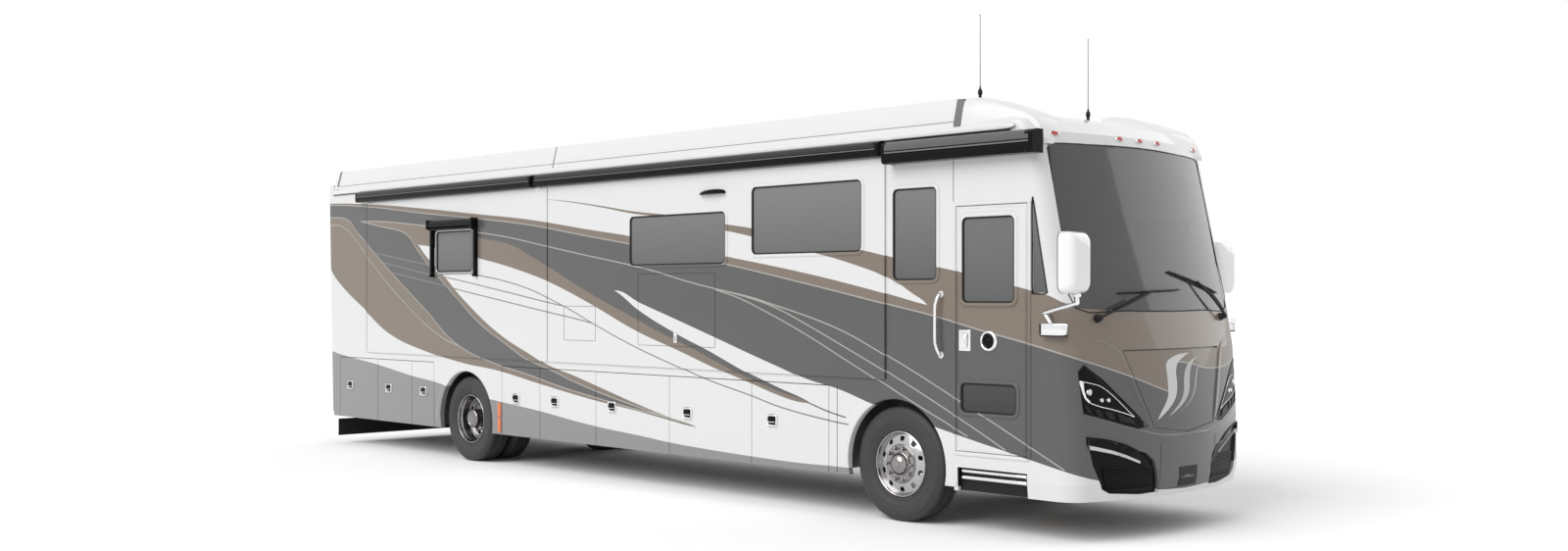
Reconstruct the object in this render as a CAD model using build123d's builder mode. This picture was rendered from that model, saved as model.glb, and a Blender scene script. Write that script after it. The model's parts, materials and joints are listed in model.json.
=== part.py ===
"""Motorhome: a rear-engined house body on a ladder frame, with slide-outs and storage bays.

Frame: +X forward, +Y to the driver's left, +Z up, millimetres.
The origin lies on the ground, under the middle of the vehicle.
SIDES holds the two signs of Y: RIGHT is the kerb side with the entry door.
"""
from build123d import *
from math import asin, cos, pi, radians, sin
import os

os.makedirs("parts", exist_ok=True)

# ---------------------------------------------------------------- driving dimensions
RIGHT = -1
LEFT = 1
SIDES = (RIGHT, LEFT)

HALF_WIDTH = 1282.5          # body half width
REAR_X = -6100.0             # rear end of walls, roof and floor
CAP_X = 4748.0               # where the walls end and the front cap begins
WALL = 50.0                  # side wall thickness
SKIRT_Z = 370.0              # bottom edge of doors and fenders
SEAM_Z = 1170.0              # seam between lower panels and side wall
WALL_TOP = 3350.0            # top of the side walls
FLOOR_Z = 1140.0             # underside of the house floor
FLOOR_THICK = 80.0
FLOOR_TOP = FLOOR_Z + FLOOR_THICK
INNER_Y = HALF_WIDTH - WALL  # inner face of the side walls
FIT = 0.3                    # clearance of a seated piece
GAP = 8.0                    # gap around doors and lids

# wheels
FRONT_AXLE_X = 4096.0
REAR_AXLE_X = -2814.0
TYRE_R = 506.0
TYRE_W = 275.0
RIM_R = 290.0                # outer radius of the rim barrel
FRONT_TRACK_Y = 1110.0       # mid-plane of the front wheels
REAR_TRACK_Y = 1105.0        # mid-plane of the outer rear wheels
DUAL_SPACING = 340.0         # between the mid-planes of twin wheels
KINGPIN_Y = 1020.0
KINGPIN_R = 22.0
SPINDLE_R = 45.0
ARCH_R = 575.0               # wheel arch radius in the fenders

# chassis
RAIL_Y = 390.0               # inner face of a rail
RAIL_W = 80.0
RAIL_Z = 760.0
RAIL_H = 250.0
RAIL_TOP = RAIL_Z + RAIL_H
RAIL_REAR = -6000.0
RAIL_FRONT = 5500.0

# front cap, in horizontal sections
# columns: height, nose x, front radius, corner radius, half width
CAP_SECTIONS = (
    (340.0, 6185.0, 3400.0, 220.0, HALF_WIDTH - 12.5),
    (475.0, 6212.0, 3400.0, 220.0, HALF_WIDTH),
    (930.0, 6207.0, 3400.0, 220.0, HALF_WIDTH),
    (1540.0, 6128.0, 4300.0, 200.0, HALF_WIDTH),
    (1850.0, 6048.0, 4800.0, 160.0, HALF_WIDTH),
    (3220.0, 5755.0, 4700.0, 130.0, HALF_WIDTH),
    (3330.0, 5735.0, 4700.0, 130.0, HALF_WIDTH),
    (3430.0, 5640.0, 4700.0, 130.0, HALF_WIDTH - 20.0),
    (3505.0, 5380.0, 4700.0, 130.0, HALF_WIDTH - 132.5),
)
CAP_WALL = 45.0
NOSE_X = max(row[1] for row in CAP_SECTIONS)

# slide-outs
# columns: name, side, rear x, front x, bottom z, top z, depth inside
SLIDES = (
    ("slide_main", RIGHT, -1107.0, 3977.0, 1250.0, 3200.0, 800.0),
    ("slide_rear", RIGHT, -5195.0, -1127.0, 1250.0, 3200.0, 800.0),
    ("slide_left", LEFT, -5195.0, 3700.0, 1250.0, 3200.0, 900.0),
)
FLANGE = 30.0                # overlap of a slide's face over its opening
FLANGE_THICK = 15.0
FLANGE_LIFT = 5.0            # gap between the flange and the side wall
SLIDE_WALL = 40.0
SLIDE_GAP = 10.0             # between a slide's box and its opening

# windows, as seen from the side: rear x, front x, bottom z, top z, corner radius
MAIN_WINDOWS = ((380.0, 1876.0, 2305.0, 2810.0, 50.0), (2265.0, 3701.0, 2385.0, 3024.0, 50.0))
REAR_WINDOWS = ((-3443.0, -2648.0, 2282.0, 2766.0, 40.0),)
LEFT_WINDOWS = (
    (-4300.0, -3500.0, 2282.0, 2766.0, 40.0),
    (-900.0, 600.0, 2305.0, 2810.0, 50.0),
    (1700.0, 3200.0, 2305.0, 2810.0, 50.0),
)
SIDE_WINDOW = (4070.0, 4560.0, 2125.0, 2915.0, 45.0)
DRIVER_WINDOW = (4850.0, 5480.0, 1990.0, 2700.0, 45.0)
QUARTER_WINDOW = ((5578.0, 2745.0), (5578.0, 2010.0), (5715.0, 2010.0))
GLASS = 8.0

# entry door: rear x, front x, bottom z, top z of the leaf
DOOR = (4783.0, 5518.0, 680.0, 2735.0)
DOOR_GAP = GAP
DOOR_THICK = 45.0
STOP_W = 15.0                # overlap of a stop flange behind a leaf's edge
DOOR_PANES = ((4850.0, 5390.0, 1930.0, 2640.0, 45.0), (4835.0, 5410.0, 1010.0, 1250.0, 55.0))
STEP_NOTCH = (4790.0, 5520.0, 540.0)     # rear x, front x, top z of the opening for the step
STEP_TUBE_R = 22.0
STEP_REACH = 320.0           # depth of the step behind the wall's face
STEP_TOP_Z = 500.0
WELL_STEP_Z = 660.0          # bottom of the stairwell
WELL_Y = 550.0               # inner side of the stairwell

# storage bays: x of the seams between the doors
BAY_SEAMS_RIGHT = (
    (-5926.0, -4922.0, -4074.0, -3543.0),
    (-2050.0, -1289.0, -246.0, 994.0, 2234.0, 3275.0),
)
BAY_SEAMS_LEFT = ((-2050.0, -700.0, 650.0, 2000.0, 3275.0),)
BAY_DOOR_THICK = 30.0
BAY_WALL = 20.0
BAY_FLOOR_Z = 385.0
BAY_INNER_Y = 500.0          # outboard of the chassis rails
LATCH_BACK = 290.0           # from a door's rear seam to its latch
LATCH_Z = 800.0
ENGINE_BAY = (-5926.0, -3543.0)          # span of the louvred panel on the left


# ---------------------------------------------------------------- helpers
def block(low, high, mode=Mode.ADD):
    """Add or cut a box between two opposite corners."""
    size = [b - a for a, b in zip(low, high)]
    middle = [(a + b) / 2 for a, b in zip(low, high)]
    with Locations(tuple(middle)):
        Box(*size, mode=mode)


def side_block(side, x0, x1, y0, y1, z0, z1, mode=Mode.ADD):
    """A box between two distances y0 < y1 from the centre plane, on one side."""
    low_y, high_y = sorted((side * y0, side * y1))
    block((x0, low_y, z0), (x1, high_y, z1), mode)


def rod(start, end, radius, mode=Mode.ADD):
    """A round bar between two points."""
    axis = Vector(*end) - Vector(*start)
    with BuildSketch(Plane(origin=start, z_dir=axis)) as end_face:
        Circle(radius)
    extrude(end_face.sketch, amount=axis.length, mode=mode)


def window_sketch(window, inset=0.0):
    """A round-cornered rectangle, given by its edges, in a plane of x and z."""
    x0, x1, z0, z1, corner = window
    with Locations(((x0 + x1) / 2, (z0 + z1) / 2)):
        RectangleRounded(x1 - x0 - 2 * inset, z1 - z0 - 2 * inset, corner - inset)


def side_plane(side, distance=HALF_WIDTH):
    """A plane of x and z at this distance from the centre, on one side."""
    return Plane.XZ.offset(-side * distance)


def write(piece, node):
    """Label a finished piece and write it to its file."""
    piece.part.label = node
    export_step(piece.part, f"parts/{node}.step")


def cap_section(nose_x, front_r, corner_r, half, back_x):
    """One horizontal section of the front cap: a wide arc, two corner arcs, straight sides."""
    centre_x = nose_x - front_r
    corner_y = half - corner_r
    turn = asin(corner_y / (front_r - corner_r))
    corner_x = centre_x + (front_r - corner_r) * cos(turn)
    meet_x = centre_x + front_r * cos(turn)
    meet_y = front_r * sin(turn)
    middle = turn + (pi / 2 - turn) / 2
    bend_x = corner_x + corner_r * cos(middle)
    bend_y = corner_y + corner_r * sin(middle)
    with BuildLine() as outline:
        Line((back_x, -half), (corner_x, -half))
        ThreePointArc((corner_x, -half), (bend_x, -bend_y), (meet_x, -meet_y))
        ThreePointArc((meet_x, -meet_y), (nose_x, 0), (meet_x, meet_y))
        ThreePointArc((meet_x, meet_y), (bend_x, bend_y), (corner_x, half))
        Line((corner_x, half), (back_x, half))
        Line((back_x, half), (back_x, -half))
    make_face(outline.edges())


def cap_block(inset):
    """The volume of the front cap, with every face moved inwards by inset."""
    first = CAP_SECTIONS[0][0]
    last = CAP_SECTIONS[-1][0]
    with BuildPart() as volume:
        for z, nose_x, front_r, corner_r, half in CAP_SECTIONS:
            height = z
            if z == first:
                height = z - inset
            if z == last:
                height = z - inset
            with BuildSketch(Plane.XY.offset(height)):
                cap_section(nose_x - inset, front_r - inset, corner_r - inset, half - inset,
                            CAP_X - inset)
        loft(ruled=True)
    return volume.part


def front_prism(points, mirrored=True):
    """A long bar along x with an outline of (y, z) points, on both sides if mirrored."""
    with BuildPart() as prism:
        with BuildSketch(Plane.YZ.offset((CAP_X + NOSE_X) / 2)):
            with BuildLine():
                Polyline(*points, close=True)
            make_face()
        extrude(amount=NOSE_X - CAP_X)
        if mirrored:
            mirror(about=Plane.XZ)
    return prism.part


def outline_in(points, inset):
    """The same outline, a little smaller all round."""
    with BuildSketch() as sketch:
        with BuildLine():
            Polyline(*points, close=True)
        make_face()
        offset(amount=-inset, kind=Kind.INTERSECTION)
    corners = sketch.sketch.faces()[0].outer_wire().order_edges()
    return [(edge.position_at(0).X, edge.position_at(0).Y) for edge in corners]


CAP_OUTER = cap_block(0)
CAP_INNER = cap_block(CAP_WALL)
CAP_SEAT = cap_block(-FIT)

# ---------------------------------------------------------------- front cap and its openings
# outlines on the cap's front, as (y, z) on the left half, seen from ahead
WINDSHIELD = ((-1150, 1885), (-600, 1862), (0, 1855), (600, 1862), (1150, 1885),
              (1155, 3190), (1090, 3235), (0, 3248), (-1090, 3235), (-1155, 3190))
HOOD = ((-735, 1546), (0, 1546), (735, 1546), (450, 905), (0, 850), (-450, 905))
HEADLAMP = ((520, 930), (640, 903), (905, 975), (1172, 1046), (1199, 1385), (1150, 1438),
            (968, 1314), (765, 1139))
GRILLE = ((395, 378), (600, 372), (930, 400), (1010, 440), (1100, 640), (1154, 867),
          (940, 816), (693, 744), (541, 705), (451, 638), (416, 540))
HOOD_THICK = 20.0
HOOD_GAP = 6.0
GRILLE_SET_IN = 25.0         # depth of the grille behind the bumper's face
LAMP_DEPTH = 60.0

# ledge that the closed hood rests on
with BuildPart() as stop_ring:
    add(cap_block(HOOD_THICK + FIT))
    add(cap_block(CAP_WALL + 1), mode=Mode.SUBTRACT)
    add(front_prism(outline_in(HOOD, -STOP_W), mirrored=False), mode=Mode.INTERSECT)
    add(front_prism(outline_in(HOOD, HOOD_GAP + STOP_W), mirrored=False), mode=Mode.SUBTRACT)
hood_stop = stop_ring.part

with BuildPart() as front_cap:
    add(CAP_OUTER)
    add(CAP_INNER, mode=Mode.SUBTRACT)
    add(front_prism(WINDSHIELD, mirrored=False), mode=Mode.SUBTRACT)
    add(front_prism(HOOD, mirrored=False), mode=Mode.SUBTRACT)
    add(hood_stop)
    add(front_prism(HEADLAMP), mode=Mode.SUBTRACT)
    add(front_prism(GRILLE), mode=Mode.SUBTRACT)
    # door opening, with a stop flange behind the leaf's edge
    door_x0, door_x1, door_z0, door_z1 = DOOR
    stop_y = HALF_WIDTH - DOOR_THICK - FIT
    frame_w = DOOR_GAP + STOP_W
    side_block(RIGHT, door_x0 - frame_w, door_x1 + frame_w, INNER_Y + FIT, stop_y + 5,
               door_z0 - frame_w, door_z1 + frame_w)
    side_block(RIGHT, door_x0 - DOOR_GAP, door_x1 + DOOR_GAP, stop_y, HALF_WIDTH + WALL,
               door_z0 - DOOR_GAP, door_z1 + DOOR_GAP, Mode.SUBTRACT)
    side_block(RIGHT, door_x0 + STOP_W, door_x1 - STOP_W, INNER_Y - 1, stop_y + 1,
               door_z0 + STOP_W, door_z1 - STOP_W, Mode.SUBTRACT)
    notch_x0, notch_x1, notch_z = STEP_NOTCH
    side_block(RIGHT, notch_x0, notch_x1, INNER_Y, HALF_WIDTH + WALL, 300, notch_z, Mode.SUBTRACT)
    with BuildSketch(side_plane(RIGHT, HALF_WIDTH + WALL)):
        with BuildLine():
            Polyline(*QUARTER_WINDOW, close=True)
        make_face()
    extrude(amount=-3 * WALL, mode=Mode.SUBTRACT)
    with BuildSketch(side_plane(LEFT, INNER_Y - WALL)):
        window_sketch(DRIVER_WINDOW)
    extrude(amount=-3 * WALL, mode=Mode.SUBTRACT)
write(front_cap, "front_cap")

with BuildPart() as windshield:
    add(cap_block(3))
    add(cap_block(3 + GLASS), mode=Mode.SUBTRACT)
    add(front_prism(outline_in(WINDSHIELD, FIT), mirrored=False), mode=Mode.INTERSECT)
write(windshield, "windshield")

with BuildPart() as nose_hood:
    add(CAP_OUTER)
    add(cap_block(HOOD_THICK), mode=Mode.SUBTRACT)
    add(front_prism(outline_in(HOOD, HOOD_GAP), mirrored=False), mode=Mode.INTERSECT)
    block((CAP_X, -HALF_WIDTH, 1534), (6400, HALF_WIDTH, 1600), Mode.SUBTRACT)
write(nose_hood, "nose_hood")

with BuildPart() as headlamps:
    add(cap_block(2))
    add(cap_block(LAMP_DEPTH), mode=Mode.SUBTRACT)
    add(front_prism(outline_in(HEADLAMP, FIT)), mode=Mode.INTERSECT)
write(headlamps, "headlamps")

with BuildPart() as grille_panels:
    add(cap_block(GRILLE_SET_IN))
    add(cap_block(GRILLE_SET_IN + 12), mode=Mode.SUBTRACT)
    add(front_prism(outline_in(GRILLE, FIT)), mode=Mode.INTERSECT)
write(grille_panels, "grille_panels")

# ---------------------------------------------------------------- house walls, floor and roof
WINDOW_SETS = {"slide_main": MAIN_WINDOWS, "slide_rear": REAR_WINDOWS, "slide_left": LEFT_WINDOWS}


def side_wall(side, window):
    """A plain side wall with its slide openings and one fixed window."""
    with BuildPart() as wall:
        side_block(side, REAR_X, CAP_X, INNER_Y, HALF_WIDTH, SEAM_Z, WALL_TOP)
        for name, slide_side, x0, x1, z0, z1, depth in SLIDES:
            if slide_side == side:
                play = FLANGE - SLIDE_GAP
                side_block(side, x0 + play, x1 - play, INNER_Y, HALF_WIDTH, z0 + play, z1 - play,
                           Mode.SUBTRACT)
        with BuildSketch(side_plane(side)) as opening:
            window_sketch(window)
        extrude(opening.sketch, amount=WALL, both=True, mode=Mode.SUBTRACT)
    return wall.part


with BuildPart() as sidewall_right:
    add(side_wall(RIGHT, SIDE_WINDOW))
write(sidewall_right, "sidewall_right")

with BuildPart() as sidewall_left:
    add(side_wall(LEFT, SIDE_WINDOW))
write(sidewall_left, "sidewall_left")


def arch(side, centre_x):
    """A wheel arch cut through a fender."""
    with BuildSketch(side_plane(side)) as opening:
        with Locations((centre_x, TYRE_R)):
            Circle(ARCH_R)
    extrude(opening.sketch, amount=WALL + 1, both=True, mode=Mode.SUBTRACT)


# fixed lower panels between the doors: side, rear x, front x
FENDERS = (
    (RIGHT, REAR_X, BAY_SEAMS_RIGHT[0][0]),
    (RIGHT, BAY_SEAMS_RIGHT[0][-1], BAY_SEAMS_RIGHT[1][0]),
    (RIGHT, BAY_SEAMS_RIGHT[1][-1], CAP_X),
    (LEFT, REAR_X, ENGINE_BAY[0]),
    (LEFT, ENGINE_BAY[1], BAY_SEAMS_LEFT[0][0]),
    (LEFT, BAY_SEAMS_LEFT[0][-1], CAP_X),
)
with BuildPart() as fenders:
    for side, x0, x1 in FENDERS:
        rear = x0 if x0 == REAR_X else x0 + GAP / 2
        front = x1 if x1 == CAP_X else x1 - GAP / 2
        side_block(side, rear, front, INNER_Y, HALF_WIDTH, SKIRT_Z, SEAM_Z)
    for side in SIDES:
        arch(side, FRONT_AXLE_X)
        arch(side, REAR_AXLE_X)
    # louvred panel of the engine bay
    side_block(LEFT, ENGINE_BAY[0] - GAP, ENGINE_BAY[1] + GAP, INNER_Y, HALF_WIDTH, SKIRT_Z, SEAM_Z)
write(fenders, "fenders")

with BuildPart() as house_floor:
    block((REAR_X, -INNER_Y, FLOOR_Z), (CAP_X, INNER_Y, FLOOR_TOP))
    block((CAP_X, -WELL_Y, FLOOR_Z), (5650, INNER_Y, FLOOR_TOP))
    block((5560, -INNER_Y, FLOOR_Z), (5650, 0, FLOOR_TOP))
    # stairwell: floor, inner wall, end walls and one middle step
    block((CAP_X, -INNER_Y, WELL_STEP_Z - BAY_WALL), (5560, -WELL_Y, WELL_STEP_Z))
    block((CAP_X, -WELL_Y - BAY_WALL, WELL_STEP_Z), (5560, -WELL_Y, FLOOR_TOP))
    block((CAP_X, -INNER_Y, WELL_STEP_Z), (CAP_X + BAY_WALL, -WELL_Y, FLOOR_TOP))
    block((5540, -INNER_Y, WELL_STEP_Z), (5560, -WELL_Y, FLOOR_TOP))
    block((CAP_X, -800, 920), (5560, -WELL_Y, 940))
    # hangers of the entry step
    for x in (notch_x0 + 40, notch_x1 - 80):
        side_block(RIGHT, x, x + 40, HALF_WIDTH - STEP_REACH + 10, INNER_Y - 40, STEP_TOP_Z + FIT,
                   WELL_STEP_Z - BAY_WALL)
    # runner strips that carry the slides
    for name, side, x0, x1, z0, z1, depth in SLIDES:
        for x in (x0 + 250, (x0 + x1) / 2, x1 - 250):
            side_block(side, x - 40, x + 40, HALF_WIDTH - depth + 30, INNER_Y, FLOOR_TOP,
                       z0 + FLANGE - FIT)
write(house_floor, "house_floor")

# roof section as (y, z) on one side
ROOF_EDGE = HALF_WIDTH - 57.5
ROOF_LEDGE_Z = 3380.0
ROOF_RISE_Z = 3430.0
ROOF_CROWN_Z = 3505.0
with BuildPart() as roof:
    with BuildSketch(Plane.YZ.offset(REAR_X)) as section:
        with BuildLine() as edge:
            Polyline((-HALF_WIDTH, WALL_TOP), (-HALF_WIDTH, ROOF_LEDGE_Z),
                     (-ROOF_EDGE, ROOF_LEDGE_Z), (-ROOF_EDGE, ROOF_RISE_Z))
            ThreePointArc((-ROOF_EDGE, ROOF_RISE_Z), (0, ROOF_CROWN_Z), (ROOF_EDGE, ROOF_RISE_Z))
            Polyline((ROOF_EDGE, ROOF_RISE_Z), (ROOF_EDGE, ROOF_LEDGE_Z),
                     (HALF_WIDTH, ROOF_LEDGE_Z), (HALF_WIDTH, WALL_TOP), (-HALF_WIDTH, WALL_TOP))
        make_face(edge.edges())
    extrude(section.sketch, amount=CAP_X - REAR_X)
write(roof, "roof")

# fairing panels along both roof edges: rear x, front x
FAIRING_RUNS = ((REAR_X, -1060.0), (-1040.0, 4740.0))
FAIRING_TOP = 3660.0
FAIRING_Y = HALF_WIDTH - 7.5
with BuildPart() as roof_fairings:
    for x0, x1 in FAIRING_RUNS:
        with BuildSketch(Plane.YZ.offset(x0)) as section:
            with BuildLine() as edge:
                Polyline((FAIRING_Y, ROOF_LEDGE_Z), (FAIRING_Y - 7, 3480), (FAIRING_Y - 53, FAIRING_TOP),
                         (FAIRING_Y - 83, FAIRING_TOP), (FAIRING_Y - 37, 3480),
                         (FAIRING_Y - 32, ROOF_LEDGE_Z), close=True)
            make_face(edge.edges())
            mirror(about=Plane.YZ)
        extrude(section.sketch, amount=x1 - x0)
    # humps over the cab
    for side in SIDES:
        with BuildSketch(side_plane(side, 740)) as hump:
            with BuildLine() as edge:
                Polyline((4810, 3400), (4810, FAIRING_TOP), (5080, 3690), (5640, 3440),
                         (5640, 3400), close=True)
            make_face(edge.edges())
        extrude(hump.sketch, amount=-side * 470)
    add(CAP_SEAT, mode=Mode.SUBTRACT)
write(roof_fairings, "roof_fairings")

# rear cap: a leaning wall with the engine lid's opening
REAR_LOW_X = -6160.0
REAR_HIGH_X = -6250.0
REAR_BOTTOM_Z = 430.0
LID = (600.0, 640.0, 1500.0)             # half width, bottom z, top z
LID_THICK = 40.0
LID_REACH = 200.0
REAR_SKIN = 20.0             # a cut starts this far behind the rear face
REAR_SLOPE = (REAR_HIGH_X - REAR_LOW_X) / (3230.0 - REAR_BOTTOM_Z)


def lid_block(behind, depth, inset):
    """A leaning slab on the rear face, from a little behind it to this depth."""
    half, z0, z1 = LID[0] - inset, LID[1] + inset, LID[2] - inset
    x_at = {z: REAR_LOW_X + REAR_SLOPE * (z - REAR_BOTTOM_Z) for z in (z0, z1)}
    with BuildPart() as slab:
        with BuildSketch(Plane.XZ) as profile:
            with BuildLine() as edge:
                Polyline((x_at[z0] - behind, z0), (x_at[z1] - behind, z1), (x_at[z1] + depth, z1),
                         (x_at[z0] + depth, z0), close=True)
            make_face(edge.edges())
        extrude(profile.sketch, amount=half, both=True)
    return slab.part


with BuildPart() as rear_cap:
    with BuildSketch(Plane.XZ) as profile:
        with BuildLine() as edge:
            Polyline((REAR_X, REAR_BOTTOM_Z), (REAR_LOW_X, REAR_BOTTOM_Z), (REAR_HIGH_X, 3230),
                     (REAR_HIGH_X, 3420), (REAR_X - 60, ROOF_CROWN_Z - 20), (REAR_X, ROOF_CROWN_Z - 20),
                     close=True)
        make_face(edge.edges())
    extrude(profile.sketch, amount=HALF_WIDTH, both=True)
    upright = edges().filter_by(lambda e: e.center().X < REAR_X - 30
                                and abs(abs(e.center().Y) - HALF_WIDTH) < 1
                                and e.length > 100 and abs(e.tangent_at(0.5).Z) > 0.9)
    fillet(upright, 45)
    add(lid_block(REAR_SKIN, LID_THICK + FIT, 0), mode=Mode.SUBTRACT)
    add(lid_block(REAR_SKIN, LID_REACH, GAP + STOP_W), mode=Mode.SUBTRACT)
write(rear_cap, "rear_cap")

with BuildPart() as engine_lid:
    add(lid_block(0, LID_THICK, GAP))
write(engine_lid, "engine_lid")

# ---------------------------------------------------------------- slide-outs
def slide_box(side, x0, x1, z0, z1, depth, windows):
    """A slide-out: a face with a flange, and a box behind it that is open to the inside."""
    outer = HALF_WIDTH + FLANGE_LIFT + FLANGE_THICK
    back = HALF_WIDTH + FLANGE_LIFT
    with BuildPart() as slide:
        side_block(side, x0, x1, back, outer, z0, z1)
        side_block(side, x0 + FLANGE, x1 - FLANGE, HALF_WIDTH - depth, back,
                   z0 + FLANGE, z1 - FLANGE)
        wall = FLANGE + SLIDE_WALL
        side_block(side, x0 + wall, x1 - wall, HALF_WIDTH - depth - 1, outer - SLIDE_WALL,
                   z0 + wall, z1 - wall, Mode.SUBTRACT)
        for window in windows:
            with BuildSketch(side_plane(side, outer)) as opening:
                window_sketch(window)
            extrude(opening.sketch, amount=SLIDE_WALL + 1, both=True, mode=Mode.SUBTRACT)
    return slide.part


def panes(side, outer, windows):
    """Window panes set a little behind an outer face."""
    with BuildPart() as glass:
        for window in windows:
            with BuildSketch(side_plane(side, outer - GLASS)) as pane:
                window_sketch(window, FIT)
            extrude(pane.sketch, amount=side * GLASS)
    return glass.part


for name, side, x0, x1, z0, z1, depth in SLIDES:
    with BuildPart() as slide_out:
        add(slide_box(side, x0, x1, z0, z1, depth, WINDOW_SETS[name]))
    write(slide_out, name)
    with BuildPart() as slide_glass:
        add(panes(side, HALF_WIDTH + FLANGE_LIFT + FLANGE_THICK, WINDOW_SETS[name]))
    write(slide_glass, name + "_glass")

# ---------------------------------------------------------------- fixed windows and entry door
with BuildPart() as fixed_windows:
    for side in SIDES:
        add(panes(side, HALF_WIDTH, (SIDE_WINDOW,)))
    add(panes(LEFT, HALF_WIDTH, (DRIVER_WINDOW,)))
    with BuildSketch(side_plane(RIGHT, HALF_WIDTH - GLASS)) as pane:
        with BuildLine() as edge:
            Polyline(*outline_in(QUARTER_WINDOW, FIT), close=True)
        make_face(edge.edges())
    extrude(pane.sketch, amount=-GLASS)
write(fixed_windows, "fixed_windows")

with BuildPart() as entry_door:
    side_block(RIGHT, door_x0, door_x1, HALF_WIDTH - DOOR_THICK, HALF_WIDTH, door_z0, door_z1)
    for pane_edges in DOOR_PANES:
        with BuildSketch(side_plane(RIGHT)) as opening:
            window_sketch(pane_edges)
        extrude(opening.sketch, amount=DOOR_THICK + 1, both=True, mode=Mode.SUBTRACT)
write(entry_door, "entry_door")

with BuildPart() as entry_door_glass:
    add(panes(RIGHT, HALF_WIDTH, DOOR_PANES))
write(entry_door_glass, "entry_door_glass")

with BuildPart() as entry_step:
    for z in (455, 510):
        rod((notch_x0 + 20, -HALF_WIDTH + 40, z), (notch_x1 - 20, -HALF_WIDTH + 40, z), STEP_TUBE_R)
    block((notch_x0 + 20, -HALF_WIDTH + 45, STEP_TOP_Z - 30),
          (notch_x1 - 20, -HALF_WIDTH + STEP_REACH, STEP_TOP_Z))
    for x in (notch_x0 + 20, notch_x1 - 50):
        block((x, -HALF_WIDTH + 35, 450), (x + 30, -HALF_WIDTH + 75, 515))
write(entry_step, "entry_step")

# ---------------------------------------------------------------- storage bays and their doors
BAY_TOP = SEAM_Z - GAP
BAY_LIP_Y = HALF_WIDTH - BAY_DOOR_THICK - FIT
with BuildPart() as storage_bays:
    for side, groups in ((RIGHT, BAY_SEAMS_RIGHT), (LEFT, BAY_SEAMS_LEFT)):
        for seams in groups:
            rear, front = seams[0] + GAP, seams[-1] - GAP
            side_block(side, rear, front, BAY_INNER_Y, BAY_LIP_Y, BAY_FLOOR_Z, BAY_FLOOR_Z + BAY_WALL)
            side_block(side, rear, front, BAY_INNER_Y, BAY_INNER_Y + BAY_WALL, BAY_FLOOR_Z, FLOOR_Z)
            side_block(side, rear, rear + BAY_WALL, BAY_INNER_Y, BAY_LIP_Y, BAY_FLOOR_Z, FLOOR_Z)
            side_block(side, front - BAY_WALL, front, BAY_INNER_Y, BAY_LIP_Y, BAY_FLOOR_Z, FLOOR_Z)
            for seam in seams[1:-1]:
                side_block(side, seam - BAY_WALL, seam + BAY_WALL, BAY_INNER_Y, BAY_LIP_Y,
                           BAY_FLOOR_Z, FLOOR_Z)
write(storage_bays, "storage_bays")

LATCH_W = 110.0
LATCH_H = 85.0
LATCH_PROUD = 6.0
for side, groups, label in ((RIGHT, BAY_SEAMS_RIGHT, "bay_door_right"), (LEFT, BAY_SEAMS_LEFT, "bay_door_left")):
    pairs = [(a, b) for seams in groups for a, b in zip(seams, seams[1:])]
    for number, (rear, front) in enumerate(pairs, 1):
        with BuildPart() as bay_door:
            side_block(side, rear + GAP / 2, front - GAP / 2, HALF_WIDTH - BAY_DOOR_THICK, HALF_WIDTH,
                       SKIRT_Z, BAY_TOP)
            latch = rear + LATCH_BACK
            side_block(side, latch - LATCH_W / 2, latch + LATCH_W / 2, HALF_WIDTH - 5,
                       HALF_WIDTH + LATCH_PROUD, LATCH_Z - LATCH_H / 2, LATCH_Z + LATCH_H / 2)
        write(bay_door, f"{label}_{number}")

# ---------------------------------------------------------------- wheel wells
WELL_SHEET = 12.0
WELL_INNER_Y = 550.0
WELL_TOP = 1100.0
# columns: rear x, front x of the well, on both sides
WELLS = ((FRONT_AXLE_X - 620, FRONT_AXLE_X + 600), (REAR_AXLE_X - 620, REAR_AXLE_X + 620))
with BuildPart() as wheel_wells:
    for side in SIDES:
        for x0, x1 in WELLS:
            side_block(side, x0, x1, WELL_INNER_Y, WELL_INNER_Y + WELL_SHEET, 620, FLOOR_Z)
            side_block(side, x0, x1, WELL_INNER_Y, INNER_Y, WELL_TOP, WELL_TOP + WELL_SHEET)
            for x in (x0, x1 - WELL_SHEET):
                side_block(side, x, x + WELL_SHEET, WELL_INNER_Y, INNER_Y, 420, WELL_TOP)
write(wheel_wells, "wheel_wells")

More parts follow.
